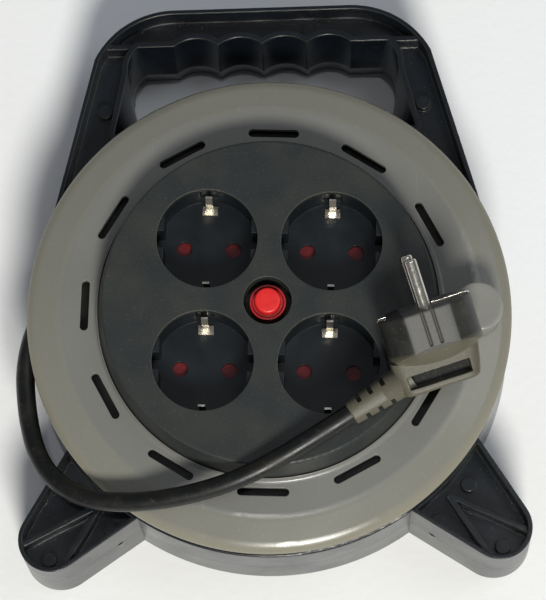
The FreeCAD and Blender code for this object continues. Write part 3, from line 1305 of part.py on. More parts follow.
def least_gap(wire, radius, pitch_length):
    """Smallest gap of a wound tube to its own other turns, measured on points along its middle."""
    points = wire.discretize(Distance=2.0)
    skip = int(pitch_length / 2.0 / 2)
    return min((points[i] - other).Length for i in range(len(points))
               for other in points[i + skip:]) - 2 * radius


turn_length = 2 * math.pi * float(d.turn_radius)
print("least gap of the wound cord %.2f mm" % least_gap(winding_path, cord_radius, turn_length))

# Inner end of the cord, its clamp and the three leads

entry_left = -d.hub_radius
keep(group("cord_inner_end", [
    lying_cylinder("cord_entry", d.cord_radius, entry_left, d.entry_length, d.entry_height)]))
clamp_half = d.clamp_width / 2
keep(cut("cable_clamp", block("clamp_bar", -d.clamp_distance - clamp_half, -d.clamp_distance + clamp_half,
                              -d.clamp_half_length, d.clamp_half_length, clamp_seat,
                              clamp_seat + d.clamp_thickness),
         columns("clamp_hole", CLAMP_SCREWS, d.clamp_screw_radius + d.screw_slack, clamp_seat,
                 clamp_seat + d.clamp_thickness)))
keep(screws("clamp_screws", CLAMP_SCREWS, d.clamp_screw_radius, d.clamp_screw_head,
            clamp_seat + d.clamp_thickness,
            -d.clamp_screw_length))

lead_radius = float(d.lead_radius)
lead_from = float(entry_left + d.entry_length)
low_height = float(d.entry_height)
lead_routes = {
    "live": [(lead_from, -1.6, low_height - 1.4), (-34, -1.6, low_height - 1.4), (-19, -7.5, 24),
             (-8, -8, 24.8)],
    "neutral": [(lead_from, 1.6, low_height - 1.4), (-33, 1.6, low_height - 1.4),
                (float(neutral_x[0]), 3, 23.5)],
    "earth": [(lead_from, 0, low_height + 1.7), (-36, 0, low_height + 1.7), (-30, 7, low_height + 3.5),
              (-24, float(d.earth_bar_offset), 24)],
}
leads = []
for name in LEAD_NAMES:
    route = [Vector(*spot) for spot in lead_routes[name]]
    route.append(Vector(*(float(size) for size in lead_ends[name])))
    lead_wire = rounded_wire(route)[0]
    leads.append(tube_from(lead_wire, lead_radius, route[0], route[1] - route[0]))
keep(group("inner_leads", [feature("lead_%d" % (i + 1), lead) for i, lead in enumerate(leads)]))

# Plug, drawn with its face at z = 0 and its cord side up, then turned as it lies


def plug_rotation():
    """Turn the plug so that its pins follow the yaw, pitch and roll."""
    yaw, pitch, roll = (math.radians(float(angle)) for angle in (d.plug_yaw, d.plug_pitch, d.plug_roll))
    pins = Vector(math.cos(yaw) * math.cos(pitch), math.sin(yaw) * math.cos(pitch), math.sin(pitch))
    level = Vector(math.sin(yaw), -math.cos(yaw), 0)
    upright = Vector(-math.cos(yaw) * math.sin(pitch), -math.sin(yaw) * math.sin(pitch), math.cos(pitch))
    up = upright * math.cos(roll) + level * math.sin(roll)
    side = level * math.cos(roll) - upright * math.sin(roll)
    return Rotation(side, up, pins * -1)


plug_frame = Placement(Vector(float(d.plug_x), float(d.plug_y), float(d.plug_z)), plug_rotation())


def lay_plug(part):
    """Put a piece of the plug where the plug lies."""
    subparts.append(part)
    part.Placement = plug_frame
    return place(part, d.plug_x, d.plug_y, d.plug_z)


def relief_root_corner(across):
    """A corner of the plug's cord side, square to the strain relief."""
    return (-d.relief_side + across * sine(d.relief_angle), d.relief_back + across * cosine(d.relief_angle))


def side_slab(name, corners, half):
    """A piece drawn in the plug's side and back directions, equally thick above and below."""
    body = doc.addObject("PartDesign::Body", name)
    sketch = body_sketch(body, name + "_side", "XZ_Plane", corners)
    pad = body.newObject("PartDesign::Pad", name + "_pad")
    pad.Profile = sketch
    pad.Midplane = True
    bind(pad, Length=half * 2)
    body.Tip = pad
    return body


collar_back = d.plug_front + d.plug_collar
wide = d.plug_radius + d.overrun
plug_front_round = cylinder("plug_front_round", d.plug_radius, zero, d.plug_front)
plug_sides = []
for side, sign in (("upper", 1), ("lower", -1)):
    low, high = sorted((sign * d.plug_flat, sign * wide), key=float)
    plug_sides.append(block("plug_flat_" + side, -wide, wide, low, high, -1 * d.plug_collar, d.plug_back))
    low, high = sorted((sign * (d.plug_flat - d.plug_groove_depth), sign * wide), key=float)
    for hand in (1, -1):
        middle = hand * d.plug_groove_width
        plug_sides.append(block("plug_groove_%s_%d" % (side, hand), middle - d.plug_groove_width / 4,
                                middle + d.plug_groove_width / 4, low, high, -1 * d.plug_collar,
                                d.plug_front))
plug_head = cut("plug_head", plug_front_round, plug_sides)
plug_collar = side_slab("plug_collar_block", [
    (-d.plug_flat, d.plug_front),
    (d.plug_radius - d.plug_collar_inset, d.plug_front),
    (d.plug_flat - d.plug_collar_slant, collar_back),
    (-d.plug_flat - d.plug_collar_bulge, collar_back),
], d.plug_collar_height)
plug_rear = side_slab("plug_rear_block", [
    relief_root_corner(-d.relief_root_radius),
    (-d.plug_flat, collar_back - d.overrun),
    (d.plug_flat - d.plug_rear_inset, collar_back - d.overrun),
    (d.plug_flat - d.plug_end_inset, d.plug_back),
    (-d.plug_flat + d.plug_cord_inset, d.plug_back),
    relief_root_corner(d.relief_root_radius),
], d.plug_rear_half)
finger_recess = block("finger_recess", -d.plug_flat, d.plug_flat - d.finger_side,
                      d.plug_rear_half - d.finger_depth,
                      d.plug_rear_half + d.overrun, d.relief_back - d.finger_front,
                      d.plug_back - d.finger_ledge)
strips = []
for hand in (1, -1):
    low, high = sorted((hand * (d.plug_radius - d.plug_strip_root),
                        hand * (d.plug_radius - d.plug_strip_sink)),
                       key=float)
    strips.append(block("plug_strip_%d" % hand, low, high, -d.plug_strip_width / 2, d.plug_strip_width / 2,
                        zero, d.plug_front - d.plug_strip_end))
strip_rooms = []
for hand in (1, -1):
    low, high = sorted((hand * (d.plug_radius - d.plug_strip_root), hand * wide), key=float)
    strip_rooms.append(block("plug_strip_room_%d" % hand, low, high, -d.plug_strip_width / 2,
                             d.plug_strip_width / 2, zero, d.plug_front - d.plug_strip_end))
half_pitch = d.contact_pitch / 2
PIN_SPOTS = [(zero, half_pitch), (zero, -half_pitch)]
pin_rooms = columns("plug_pin_room", PIN_SPOTS, d.plug_pin_root_radius, zero, d.plug_pin_root)
lay_plug(cut("plug_body", fuse("plug_full", [plug_head, plug_collar, plug_rear]),
             strip_rooms + pin_rooms + [finger_recess]))
pin_shanks = columns("plug_pin_shank", PIN_SPOTS, d.plug_pin_radius, -d.plug_pin_length, zero)
pin_roots = columns("plug_pin_root", PIN_SPOTS, d.plug_pin_root_radius, zero, d.plug_pin_root)
lay_plug(group("plug_pins", [
    fuse("plug_pin_%d" % (i + 1), list(halves)) for i, halves in enumerate(zip(pin_shanks, pin_roots))]))
lay_plug(group("plug_earth_contact", strips))

# Strain relief, drawn upright and then laid against the plug's cord side

relief_way = Vector(-math.cos(math.radians(float(d.relief_angle))), 0,
                    math.sin(math.radians(float(d.relief_angle))))
relief_frame = plug_frame.multiply(Placement(
    Vector(-float(d.relief_side), 0, float(d.relief_back)),
    Rotation(Vector(0, 1, 0).cross(relief_way), Vector(0, 1, 0), relief_way)))
relief_cone = doc.addObject("Part::Cone", "relief_cone")
bind(relief_cone, Radius1=d.relief_root_radius, Radius2=d.relief_tip_radius, Height=d.relief_length)
notches = []
for step in (1, 2, 3):
    level = d.relief_length * step / 4
    for side, sign in (("upper", 1), ("lower", -1)):
        low, high = sorted((sign * (d.relief_tip_radius - d.relief_notch_depth),
                            sign * (d.relief_root_radius + d.overrun)), key=float)
        notches.append(block("relief_notch_%s_%d" % (side, step), low, high, -d.relief_root_radius,
                             d.relief_root_radius, level - d.relief_notch_width / 2,
                             level + d.relief_notch_width / 2))
strain_relief = cut("strain_relief", relief_cone, notches)
strain_relief.Placement = relief_frame
subparts.append(strain_relief)

# Free stretch of the cord, from the outer layer over the frame's rim and the flange to the plug

relief_tip = relief_frame.multVec(Vector(0, 0, float(d.relief_length)))
relief_exit = relief_frame.Rotation.multVec(Vector(0, 0, 1))
cord_points = [
    cord_start,
    cord_start + cord_heading * float(d.cord_start_run),
    Vector(-96.2, -13.5, 46.6),
    Vector(-95.0, -37.8, 49.0),
    Vector(-89.5, -58.0, 53.5),
    Vector(-75.8, -71.5, 59.0),
    Vector(-55.7, -75.4, 63.5),
    Vector(-33.5, -74.1, 69.0),
    Vector(-10.8, -69.0, 76.0),
    relief_tip + relief_exit * float(d.cord_end_run),
    relief_tip,
]
cord_wire, cord_radii = rounded_wire(cord_points)
free_cord = tube_from(cord_wire, cord_radius, cord_points[0], cord_points[1] - cord_points[0])
keep(feature("free_cord", free_cord), on_drum=False)
print("cord points", [tuple(round(number, 2) for number in point) for point in cord_points])
print("cord radii", [round(radius, 1) for radius in cord_radii])
section = math.pi * cord_radius ** 2
for name, tube, path in (("free cord", free_cord, cord_wire), ("wound cord", winding, winding_path)):
    print("%s: length %.1f mm, volume by its section %.4f" % (name, path.Length,
                                                              tube.Volume / (section * path.Length)))

# Every piece is checked, then written

doc.recompute()
for thing in doc.Objects:
    if "Invalid" in thing.State or "Error" in thing.State:
        raise RuntimeError("%s did not build" % thing.Label)
for part in subparts:
    if part.Shape.isNull() or not part.Shape.isValid():
        raise RuntimeError("%s has no sound shape" % part.Label)
os.makedirs("parts", exist_ok=True)
for part in subparts:
    part.Shape.exportStep("parts/%s.step" % part.Label)
print(len(subparts), "sub-parts written")
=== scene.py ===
import math

import bmesh
import bpy
import numpy as np
from mathutils import Matrix, Vector


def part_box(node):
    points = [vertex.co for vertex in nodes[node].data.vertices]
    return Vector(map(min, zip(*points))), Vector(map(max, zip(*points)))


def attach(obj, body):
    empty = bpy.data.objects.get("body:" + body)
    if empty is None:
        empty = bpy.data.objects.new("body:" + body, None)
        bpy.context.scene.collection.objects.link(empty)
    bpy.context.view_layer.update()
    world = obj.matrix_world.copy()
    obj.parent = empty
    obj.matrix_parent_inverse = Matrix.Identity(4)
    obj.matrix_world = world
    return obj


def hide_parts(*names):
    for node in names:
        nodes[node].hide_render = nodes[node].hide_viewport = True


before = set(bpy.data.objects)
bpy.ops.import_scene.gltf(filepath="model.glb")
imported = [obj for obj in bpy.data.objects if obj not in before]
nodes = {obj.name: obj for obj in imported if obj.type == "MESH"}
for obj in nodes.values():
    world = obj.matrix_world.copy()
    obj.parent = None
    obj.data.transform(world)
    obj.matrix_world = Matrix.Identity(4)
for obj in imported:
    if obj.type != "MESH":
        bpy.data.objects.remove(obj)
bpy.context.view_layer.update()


# Camera
# The photograph looks down on the reel from a little below its feet's side, with a long lens.
# Turn, height and distance come from the ring, the sockets and the plug as they stand in the picture.
TO_RIGHT = Vector((0.9995, -0.0256, -0.0214))
TO_TOP = Vector((0.0300, 0.9712, 0.2364))
TO_LENS = TO_RIGHT.cross(TO_TOP).normalized()
CAMERA_PLACE = (0.0160, -0.2237, 0.9905)
SENSOR_HEIGHT, FOCAL_LENGTH = 36.0, 148.4
lens = bpy.data.cameras.new("camera")
lens.sensor_fit = "VERTICAL"
lens.sensor_height = SENSOR_HEIGHT
lens.lens = FOCAL_LENGTH
lens.clip_start = 0.05
camera = bpy.data.objects.new("camera", lens)
bpy.context.scene.collection.objects.link(camera)
camera.matrix_world = Matrix.Translation(CAMERA_PLACE) @ Matrix(
    (TO_RIGHT, TO_LENS.cross(TO_RIGHT), TO_LENS)).transposed().to_4x4()
bpy.context.scene.camera = camera


# Free cord
# Round flexible lead, black sheath over three cores. It comes off the outer layer behind the flange, swings
# out over the frame's rim, lies over the flange and the plate's edge and ends in the plug's strain relief.


def photographed(red, green, blue):
    """A colour as it is seen, 0 to 255, in linear light: ((c + 0.055) / 1.055) to the power 2.4."""
    part = np.array([red, green, blue]) / 255.0
    light = np.where(part > 0.04045, ((part + 0.055) / 1.055) ** 2.4, part / 12.92)
    return (*light.tolist(), 1.0)


class Finish:
    """A material whose colour, roughness and relief are built up in layers from the piece's coordinates."""

    def __init__(self, name, colour, metallic=0.0, shine=0.5):
        self.material = bpy.data.materials.new(name)
        self.material.use_nodes = True
        self.tree = self.material.node_tree
        self.shader = self.tree.nodes["Principled BSDF"]
        self.shader.inputs["Metallic"].default_value = metallic
        self.shader.inputs["Specular IOR Level"].default_value = shine
        self.place = self.tree.nodes.new("ShaderNodeTexCoord").outputs["Object"]
        self.colour = colour
        self.relief = None

    def link(self, source, target):
        """Join one node's output to another's input."""
        self.tree.links.new(source, target)

    def spread(self, value, low, high):
        """The value drawn out so that low gives nought and high gives one."""
        drawn = self.tree.nodes.new("ShaderNodeMapRange")
        drawn.inputs["From Min"].default_value = low
        drawn.inputs["From Max"].default_value = high
        self.link(value, drawn.inputs["Value"])
        return drawn.outputs["Result"]

    def cloud(self, size, low=0.3, high=0.7, detail=3.0, stretch=(1.0, 1.0, 1.0), turn=(0.0, 0.0, 0.0)):
        """Noise of that grain size cut off between low and high, drawn into streaks by stretch."""
        lay = self.tree.nodes.new("ShaderNodeMapping")
        lay.inputs["Scale"].default_value = stretch
        lay.inputs["Rotation"].default_value = turn
        self.link(self.place, lay.inputs["Vector"])
        noise = self.tree.nodes.new("ShaderNodeTexNoise")
        noise.inputs["Scale"].default_value = 1.0 / size
        noise.inputs["Detail"].default_value = detail
        self.link(lay.outputs["Vector"], noise.inputs["Vector"])
        return self.spread(noise.outputs["Fac"], low, high)

    def edges(self, radius):
        """One where the surface turns a corner within that radius, by the cosine of the rounding's tilt."""
        still_flat, full_edge = 0.98, 0.70
        bevel = self.tree.nodes.new("ShaderNodeBevel")
        bevel.samples = 4
        bevel.inputs["Radius"].default_value = radius
        flat = self.tree.nodes.new("ShaderNodeNewGeometry")
        both = self.tree.nodes.new("ShaderNodeVectorMath")
        both.operation = "DOT_PRODUCT"
        self.link(bevel.outputs["Normal"], both.inputs[0])
        self.link(flat.outputs["Normal"], both.inputs[1])
        self.relief = bevel.outputs["Normal"]
        return self.spread(both.outputs["Value"], still_flat, full_edge)

    def beyond(self, low, high):
        """One outside a circle round the reel's axis: the distance from Z, drawn out between two radii."""
        level = self.tree.nodes.new("ShaderNodeVectorMath")
        level.operation = "MULTIPLY"
        level.inputs[1].default_value = (1.0, 1.0, 0.0)
        reach = self.tree.nodes.new("ShaderNodeVectorMath")
        reach.operation = "LENGTH"
        self.link(self.place, level.inputs[0])
        self.link(level.outputs["Vector"], reach.inputs[0])
        return self.spread(reach.outputs["Value"], low, high)

    def along(self, way, low, high):
        """One far along a direction: the dot product with it drawn out between two distances in metres."""
        far = self.tree.nodes.new("ShaderNodeVectorMath")
        far.operation = "DOT_PRODUCT"
        far.inputs[1].default_value = way
        self.link(self.place, far.inputs[0])
        return self.spread(far.outputs["Value"], low, high)

    def band(self, way, low, high):
        """One between two distances along a direction, soft over half a millimetre at both."""
        soft = 0.00025
        back = [-share for share in way]
        from_low = self.along(way, low - soft, low + soft)
        to_high = self.along(back, -high - soft, soft - high)
        return self.both(from_low, to_high)

    def both(self, first, second):
        """Two masks multiplied."""
        product = self.tree.nodes.new("ShaderNodeMath")
        product.operation = "MULTIPLY"
        self.link(first, product.inputs[0])
        self.link(second, product.inputs[1])
        return product.outputs[0]

    def tint(self, mask, colour, most=1.0):
        """Lay another colour over what is there, where the mask is bright."""
        mix = self.tree.nodes.new("ShaderNodeMix")
        mix.data_type = "RGBA"
        amount = self.tree.nodes.new("ShaderNodeMath")
        amount.operation = "MULTIPLY"
        amount.inputs[1].default_value = most
        self.link(mask, amount.inputs[0])
        self.link(amount.outputs[0], mix.inputs[0])
        if isinstance(self.colour, tuple):
            mix.inputs[6].default_value = self.colour
        else:
            self.link(self.colour, mix.inputs[6])
        mix.inputs[7].default_value = colour
        self.colour = mix.outputs[2]

    def rough(self, mask, low, high):
        """Roughness from low where the mask is dark to high where it is bright."""
        spread = self.tree.nodes.new("ShaderNodeMapRange")
        spread.inputs["To Min"].default_value = low
        spread.inputs["To Max"].default_value = high
        self.link(mask, spread.inputs["Value"])
        self.link(spread.outputs["Result"], self.shader.inputs["Roughness"])

    def raised(self, mask, height, strength):
        """Relief of that height in metres on top of what is there."""
        bump = self.tree.nodes.new("ShaderNodeBump")
        bump.inputs["Distance"].default_value = height
        bump.inputs["Strength"].default_value = strength
        self.link(mask, bump.inputs["Height"])
        if self.relief is not None:
            self.link(self.relief, bump.inputs["Normal"])
        self.relief = bump.outputs["Normal"]

    def done(self):
        """The material, with its last colour and relief joined to the shader."""
        if isinstance(self.colour, tuple):
            self.shader.inputs["Base Color"].default_value = self.colour
        else:
            self.link(self.colour, self.shader.inputs["Base Color"])
        if self.relief is not None:
            self.link(self.relief, self.shader.inputs["Normal"])
        return self.material


def dress(piece, material):
    """Give a piece this material and no other."""
    piece.data.materials.clear()
    piece.data.materials.append(material)


def stand_in(piece, material, node, body):
    """Dress a piece, let it take a node's place and move with that node's body."""
    dress(piece, material)
    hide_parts(node)
    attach(piece, body)


def flexible(name, routes, radius):
    """Round leads: one smooth NURBS line of order three through each route's points, with a round bevel."""
    line = bpy.data.curves.new(name, "CURVE")
    line.dimensions = "3D"
    line.bevel_depth = radius
    line.bevel_resolution = 8
    line.use_fill_caps = True
    line.resolution_u = 16
    for route in routes:
        way = line.splines.new("NURBS")
        way.points.add(len(route) - 1)
        way.points.foreach_set("co", np.column_stack([route, np.ones(len(route))]).ravel())
        way.order_u = 3
        way.use_endpoint_u = True
    piece = bpy.data.objects.new(name, line)
    bpy.context.scene.collection.objects.link(piece)
    return piece


sheath = Finish("cord_sheath", photographed(11, 12, 11), shine=0.35)
sheath.tint(sheath.cloud(0.012, 0.45, 0.75), photographed(38, 36, 27), 0.40)
sheath.tint(sheath.cloud(0.0015, 0.62, 0.70), photographed(90, 84, 66), 0.16)
sheath.rough(sheath.cloud(0.006), 0.34, 0.48)
sheath.raised(sheath.cloud(0.0009), 0.00005, 0.4)
SHEATH = sheath.done()

CORD_RADIUS, CORD_LENGTH = 0.0037, 0.2221
CORD_ROUTE = [
    (-0.08024, 0.02594, 0.04631),
    (-0.08764, 0.00845, 0.04660),
    (-0.09620, -0.01350, 0.04660),
    (-0.09500, -0.03780, 0.04900),
    (-0.08950, -0.05800, 0.05350),
    (-0.07580, -0.07150, 0.05900),
    (-0.05570, -0.07540, 0.06350),
    (-0.03350, -0.07410, 0.06900),
    (-0.01080, -0.06900, 0.07600),
    (0.01232, -0.05710, 0.07904),
    (0.03030, -0.04664, 0.08193),
]
free_lead = flexible("free_lead", [CORD_ROUTE], CORD_RADIUS)
stand_in(free_lead, SHEATH, "free_cord", "drum")


# Floor and light
# A pale cloth-coloured floor under soft studio lamps; the brightest stands low on the feet's side.
FLOOR_REACH = 6


def lamp(name, place, target, width, watts, colour=(1.0, 1.0, 1.0)):
    """A round soft lamp that stands at a place and looks at its target."""
    light = bpy.data.lights.new(name, "AREA")
    light.shape = "DISK"
    light.size = width
    light.energy = watts
    light.color = colour
    holder = bpy.data.objects.new(name, light)
    bpy.context.scene.collection.objects.link(holder)
    holder.location = place
    holder.rotation_euler = (Vector(target) - Vector(place)).to_track_quat("-Z", "Y").to_euler()


lamp("key_lamp", (0.38, -2.25, 2.48), (0, 0, 0.03), 0.90, 130.0, (1.0, 0.98, 0.92))
lamp("glint_lamp", (0.04, -0.26, 2.70), (0, -0.05, 0.05), 0.10, 4.0)
lamp("wide_lamp", (1.45, 0.45, 2.9), (0, 0, 0.03), 1.60, 14.0, (0.88, 0.94, 1.0))
world = bpy.data.worlds.new("room")
world.use_nodes = True
world.node_tree.nodes["Background"].inputs["Color"].default_value = (0.86, 0.90, 1.0, 1.0)
world.node_tree.nodes["Background"].inputs["Strength"].default_value = 0.22
bpy.context.scene.world = world
bpy.context.scene.view_settings.view_transform = "Standard"

cloth = Finish("pale_floor", photographed(226, 228, 230), shine=0.2)
cloth.tint(cloth.cloud(0.30, 0.35, 0.70), photographed(218, 216, 210), 0.5)
cloth.rough(cloth.cloud(0.02), 0.85, 0.95)
cloth.raised(cloth.cloud(0.004), 0.0002, 0.3)
floor_mesh = bpy.data.meshes.new("floor")
floor_mesh.from_pydata([(-FLOOR_REACH, -FLOOR_REACH, 0), (FLOOR_REACH, -FLOOR_REACH, 0),
                        (FLOOR_REACH, FLOOR_REACH, 0), (-FLOOR_REACH, FLOOR_REACH, 0)], [], [(0, 1, 2, 3)])
floor = bpy.data.objects.new("floor", floor_mesh)
bpy.context.scene.collection.objects.link(floor)
dress(floor, cloth.done())


# Frame
# Two black mouldings screwed together from behind: ring wall with a rolled cord guide, carrying handle with
# finger arcs, two feet with ribbed pans. Edges carry a paler painted highlight and fine dust lies on
# everything.


def dress_nodes(names, material):
    """Give a material to each of these CAD nodes, which keep their shapes."""
    for name in names:
        dress(nodes[name], material)


def mottled(name, colour, patch, blotches, roughness, grain, metallic=0.0, shine=0.5):
    """One colour with soft blotches of another; roughness and a fine relief rise and fall with noise too.

    blotches are their size, the noise at which they start and how much they cover; roughness is the size of
    its changes, its lowest and its highest; grain is its size, its height and its strength.
    """
    blotch_size, blotch_start, cover = blotches
    change_size, smoothest, roughest = roughness
    grain_size, height, strength = grain
    finish = Finish(name, photographed(*colour), metallic, shine)
    finish.tint(finish.cloud(blotch_size, blotch_start, 0.7), photographed(*patch), cover)
    finish.rough(finish.cloud(change_size), smoothest, roughest)
    finish.raised(finish.cloud(grain_size), height, strength)
    return finish.done()


black = Finish("black_moulding", photographed(8, 13, 18), shine=0.5)
black_edge_highlight = black.edges(0.0008)
black.tint(black.cloud(0.035, 0.45, 0.75), photographed(20, 26, 31), 0.5)
# Painted highlight: paler colour along the edges.
black.tint(black_edge_highlight, photographed(92, 90, 74), 0.34)
black.tint(black.cloud(0.0012, 0.66, 0.74), photographed(96, 92, 78), 0.20)
black.rough(black.cloud(0.02), 0.20, 0.30)
black.raised(black.cloud(0.0011), 0.00004, 0.5)
dress_nodes(("frame_front", "frame_back"), black.done())

ZINC = mottled("zinc_plate", (176, 176, 168), (140, 138, 126), (0.003, 0.4, 0.5), (0.002, 0.28, 0.45),
               (0.0006, 0.00002, 0.5), metallic=1.0)
dress_nodes(("frame_screws", "retaining_washer", "axle_screw", "drum_screws", "plate_screws",
             "carrier_screws", "clamp_screws", "knob_pin"), ZINC)


# Drum
# Two grey mouldings: the back half with the rear flange and the hub, the front half with the front flange,
# flat at first and sloping outside, its rounded lip and eleven slots. The grey is hazed, with fine scratches.
# Lighter, warmer painted light lies on the sloping zone and the lip.
# Painted light: lighter, warmer tints outside two radii stand for light falling on the flange's sloping zone
# and lip.
DRUM_PAINTED_LIGHT = [
    (0.0806, 0.0816, photographed(116, 115, 105), 0.7),
    (0.0900, 0.0935, photographed(126, 122, 105), 0.6),
]


def grey_moulding(name, ring_tone_and_painted_light):
    """Hazed grey plastic; each entry of the second argument lays a colour over what lies outside its radius:
    the knob's own grey, or painted light on the flange's sloping zone and lip.
    """
    streak = (1.0, 0.012, 1.0)
    streak_turn = (0.0, 0.0, 0.7)
    grey = Finish(name, photographed(108, 108, 104), shine=0.42)
    grey_edge_highlight = grey.edges(0.0005)
    grey.tint(grey.cloud(0.05, 0.40, 0.75, 5.0), photographed(120, 120, 116), 0.55)
    for low, high, colour, most in ring_tone_and_painted_light:
        grey.tint(grey.beyond(low, high), colour, most)
    grey.tint(grey.cloud(0.0010, 0.60, 0.72), photographed(150, 148, 140), 0.14)
    grey.tint(grey.cloud(0.0007, 0.70, 0.76, 2.0, streak, streak_turn), photographed(158, 158, 152), 0.20)
    # Painted highlight: paler colour along the edges.
    grey.tint(grey_edge_highlight, photographed(160, 158, 142), 0.4)
    grey.rough(grey.cloud(0.03), 0.18, 0.27)
    grey.raised(grey.cloud(0.0009), 0.00002, 0.4)
    return grey.done()


dress_nodes(("drum_front", "drum_back"), grey_moulding("grey_moulding", DRUM_PAINTED_LIGHT))


# Wound cord
# The layers on the drum. The outer turns climb side by side to the place where the free cord leaves; the
# layers below them show only as ribs between the turns.


def skin(name, points, crease=35):
    """A mesh from a grid of points: rows run round the piece and close, columns along it, ends filled."""
    rows, columns = points.shape[:2]
    index = np.arange(rows * columns).reshape(rows, columns)
    index = np.vstack([index, index[:1]])
    quads = np.stack([index[:-1, :-1], index[1:, :-1], index[1:, 1:], index[:-1, 1:]], axis=-1)
    mesh = bpy.data.meshes.new(name)
    mesh.from_pydata(points.reshape(-1, 3).tolist(), [], quads.reshape(-1, 4).tolist())
    work = bmesh.new()
    work.from_mesh(mesh)
    bmesh.ops.remove_doubles(work, verts=work.verts, dist=1e-7)
    bmesh.ops.holes_fill(work, edges=work.edges, sides=0)
    bmesh.ops.recalc_face_normals(work, faces=work.faces)
    work.to_mesh(mesh)
    work.free()
    mesh.polygons.foreach_set("use_smooth", np.ones(len(mesh.polygons), bool))
    mesh.set_sharp_from_angle(angle=math.radians(crease))
    piece = bpy.data.objects.new(name, mesh)
    bpy.context.scene.collection.objects.link(piece)
    return piece


def carried(name, path, radius, sides=20):
    """A round tube: at each point of the path a circle square to the path's heading, level axis first."""
    heading = np.gradient(path, axis=0)
    heading /= np.linalg.norm(heading, axis=1, keepdims=True)
    level = np.cross(heading, [0.0, 0.0, 1.0])
    level /= np.linalg.norm(level, axis=1, keepdims=True)
    upright = np.cross(level, heading)
    turn = np.linspace(0, 2 * np.pi, sides, endpoint=False)[:, None, None]
    return skin(name, path + radius * (np.cos(turn) * level + np.sin(turn) * upright))


TURN_RADIUS, TURN_PITCH, TURN_COUNT, TURN_STEPS = 0.084, 0.008, 4, 160
LEAVES_AT = math.radians(157.05)
LEAVES_HEIGHT = 0.0462
sweep = np.linspace(-TURN_COUNT * 2 * np.pi, 0, TURN_COUNT * TURN_STEPS + 1)
turns_path = np.stack([TURN_RADIUS * np.cos(sweep + LEAVES_AT), TURN_RADIUS * np.sin(sweep + LEAVES_AT),
                       LEAVES_HEIGHT + TURN_PITCH * sweep / (2 * np.pi)], axis=-1)
last_step = turns_path[-1] - turns_path[-2]
tail = turns_path[-1] + last_step / np.linalg.norm(last_step) * 2 * CORD_RADIUS
outer_turns = carried("outer_turns", np.vstack([turns_path, tail]), CORD_RADIUS)
stand_in(outer_turns, SHEATH, "winding_turns", "drum")

MM = 0.001


def turned(name, outline, steps, centre=(0.0, 0.0, 0.0)):
    """A turned piece in millimetres: each point of the section, a radius and a height, goes once round Z."""
    radius, height = np.asarray(outline, float).T
    turn = np.linspace(0, 2 * np.pi, steps, endpoint=False)[:, None]
    height = np.broadcast_to(height, (steps, len(height)))
    return skin(name, np.stack([radius * np.cos(turn), radius * np.sin(turn), height], -1) * MM + centre)


def rounded(outline, radii, steps=5):
    """The outline with each corner cut off at its radius and bridged by a curve of the second degree."""
    corners = np.asarray(outline, float)
    before = np.roll(corners, 1, axis=0) - corners
    after = np.roll(corners, -1, axis=0) - corners
    before_length = np.linalg.norm(before, axis=1, keepdims=True)
    after_length = np.linalg.norm(after, axis=1, keepdims=True)
    reach = np.minimum(np.asarray(radii, float)[:, None], 0.49 * np.minimum(before_length, after_length))
    enter = corners + before / before_length * reach
    leave = corners + after / after_length * reach
    share = np.linspace(0, 1, steps)[None, :, None]
    bend = ((1 - share) ** 2 * enter[:, None] + 2 * share * (1 - share) * corners[:, None]
            + share ** 2 * leave[:, None])
    return bend.reshape(-1, 2)


CORE_RIBS, RIB_DEPTH, CORE_ROOM, CORE_END_ROOM, CORE_INSIDE = 5, 1.1, 0.4, 0.2, 59.0
low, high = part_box("winding_core")
rise = np.linspace(0, 1, 121)
ribs = np.stack([high.x / MM - CORE_ROOM - RIB_DEPTH * (1 - np.abs(np.sin(rise * np.pi * CORE_RIBS))),
                 low.z / MM + CORE_END_ROOM + ((high.z - low.z) / MM - 2 * CORE_END_ROOM) * rise], axis=-1)
inside = np.array([[CORE_INSIDE, ribs[-1, 1]], [CORE_INSIDE, ribs[0, 1]], ribs[0]])
inner_turns = turned("inner_turns", np.vstack([ribs, inside]), 192)
stand_in(inner_turns, SHEATH, "winding_core", "drum")


# Winding knob
# Grey turned-looking moulding that spins on its pin, with a soft upper edge and a barely dished top. A
# hollow inside it makes room for the pin's head.
KNOB_RADIUS, KNOB_BORE, HEAD_ROOM, HEAD_SEAT, HEAD_TOP = 9.5, 3.05, 4.6, 65.75, 68.7
KNOB_AXIS = 0.01
DISH_EDGE, DISH_INSIDE, DISH_FALL, DISH_DEPTH = 7.0, 4.8, 0.15, 0.2
KNOB_GREY = [(0.0, 0.001, photographed(126, 126, 120), 0.8)]
low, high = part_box("winding_knob")
knob_centre = ((low.x + high.x) / 2, (low.y + high.y) / 2, 0.0)
knob_foot, knob_top = low.z / MM, high.z / MM
knob_section = rounded([
    (KNOB_BORE, knob_foot), (KNOB_RADIUS, knob_foot), (KNOB_RADIUS, knob_top), (DISH_EDGE, knob_top),
    (DISH_INSIDE, knob_top - DISH_FALL), (KNOB_AXIS, knob_top - DISH_DEPTH), (KNOB_AXIS, HEAD_TOP),
    (HEAD_ROOM, HEAD_TOP), (HEAD_ROOM, HEAD_SEAT), (KNOB_BORE, HEAD_SEAT),
], [0.3, 0.5, 0.9, 1.0, 1.0, 0.0, 0.0, 0.2, 0.2, 0.2])
knob = turned("knob", np.vstack([knob_section, knob_section[:1]]), 96, knob_centre)
stand_in(knob, grey_moulding("knob_grey", KNOB_GREY), "winding_knob", "knob")
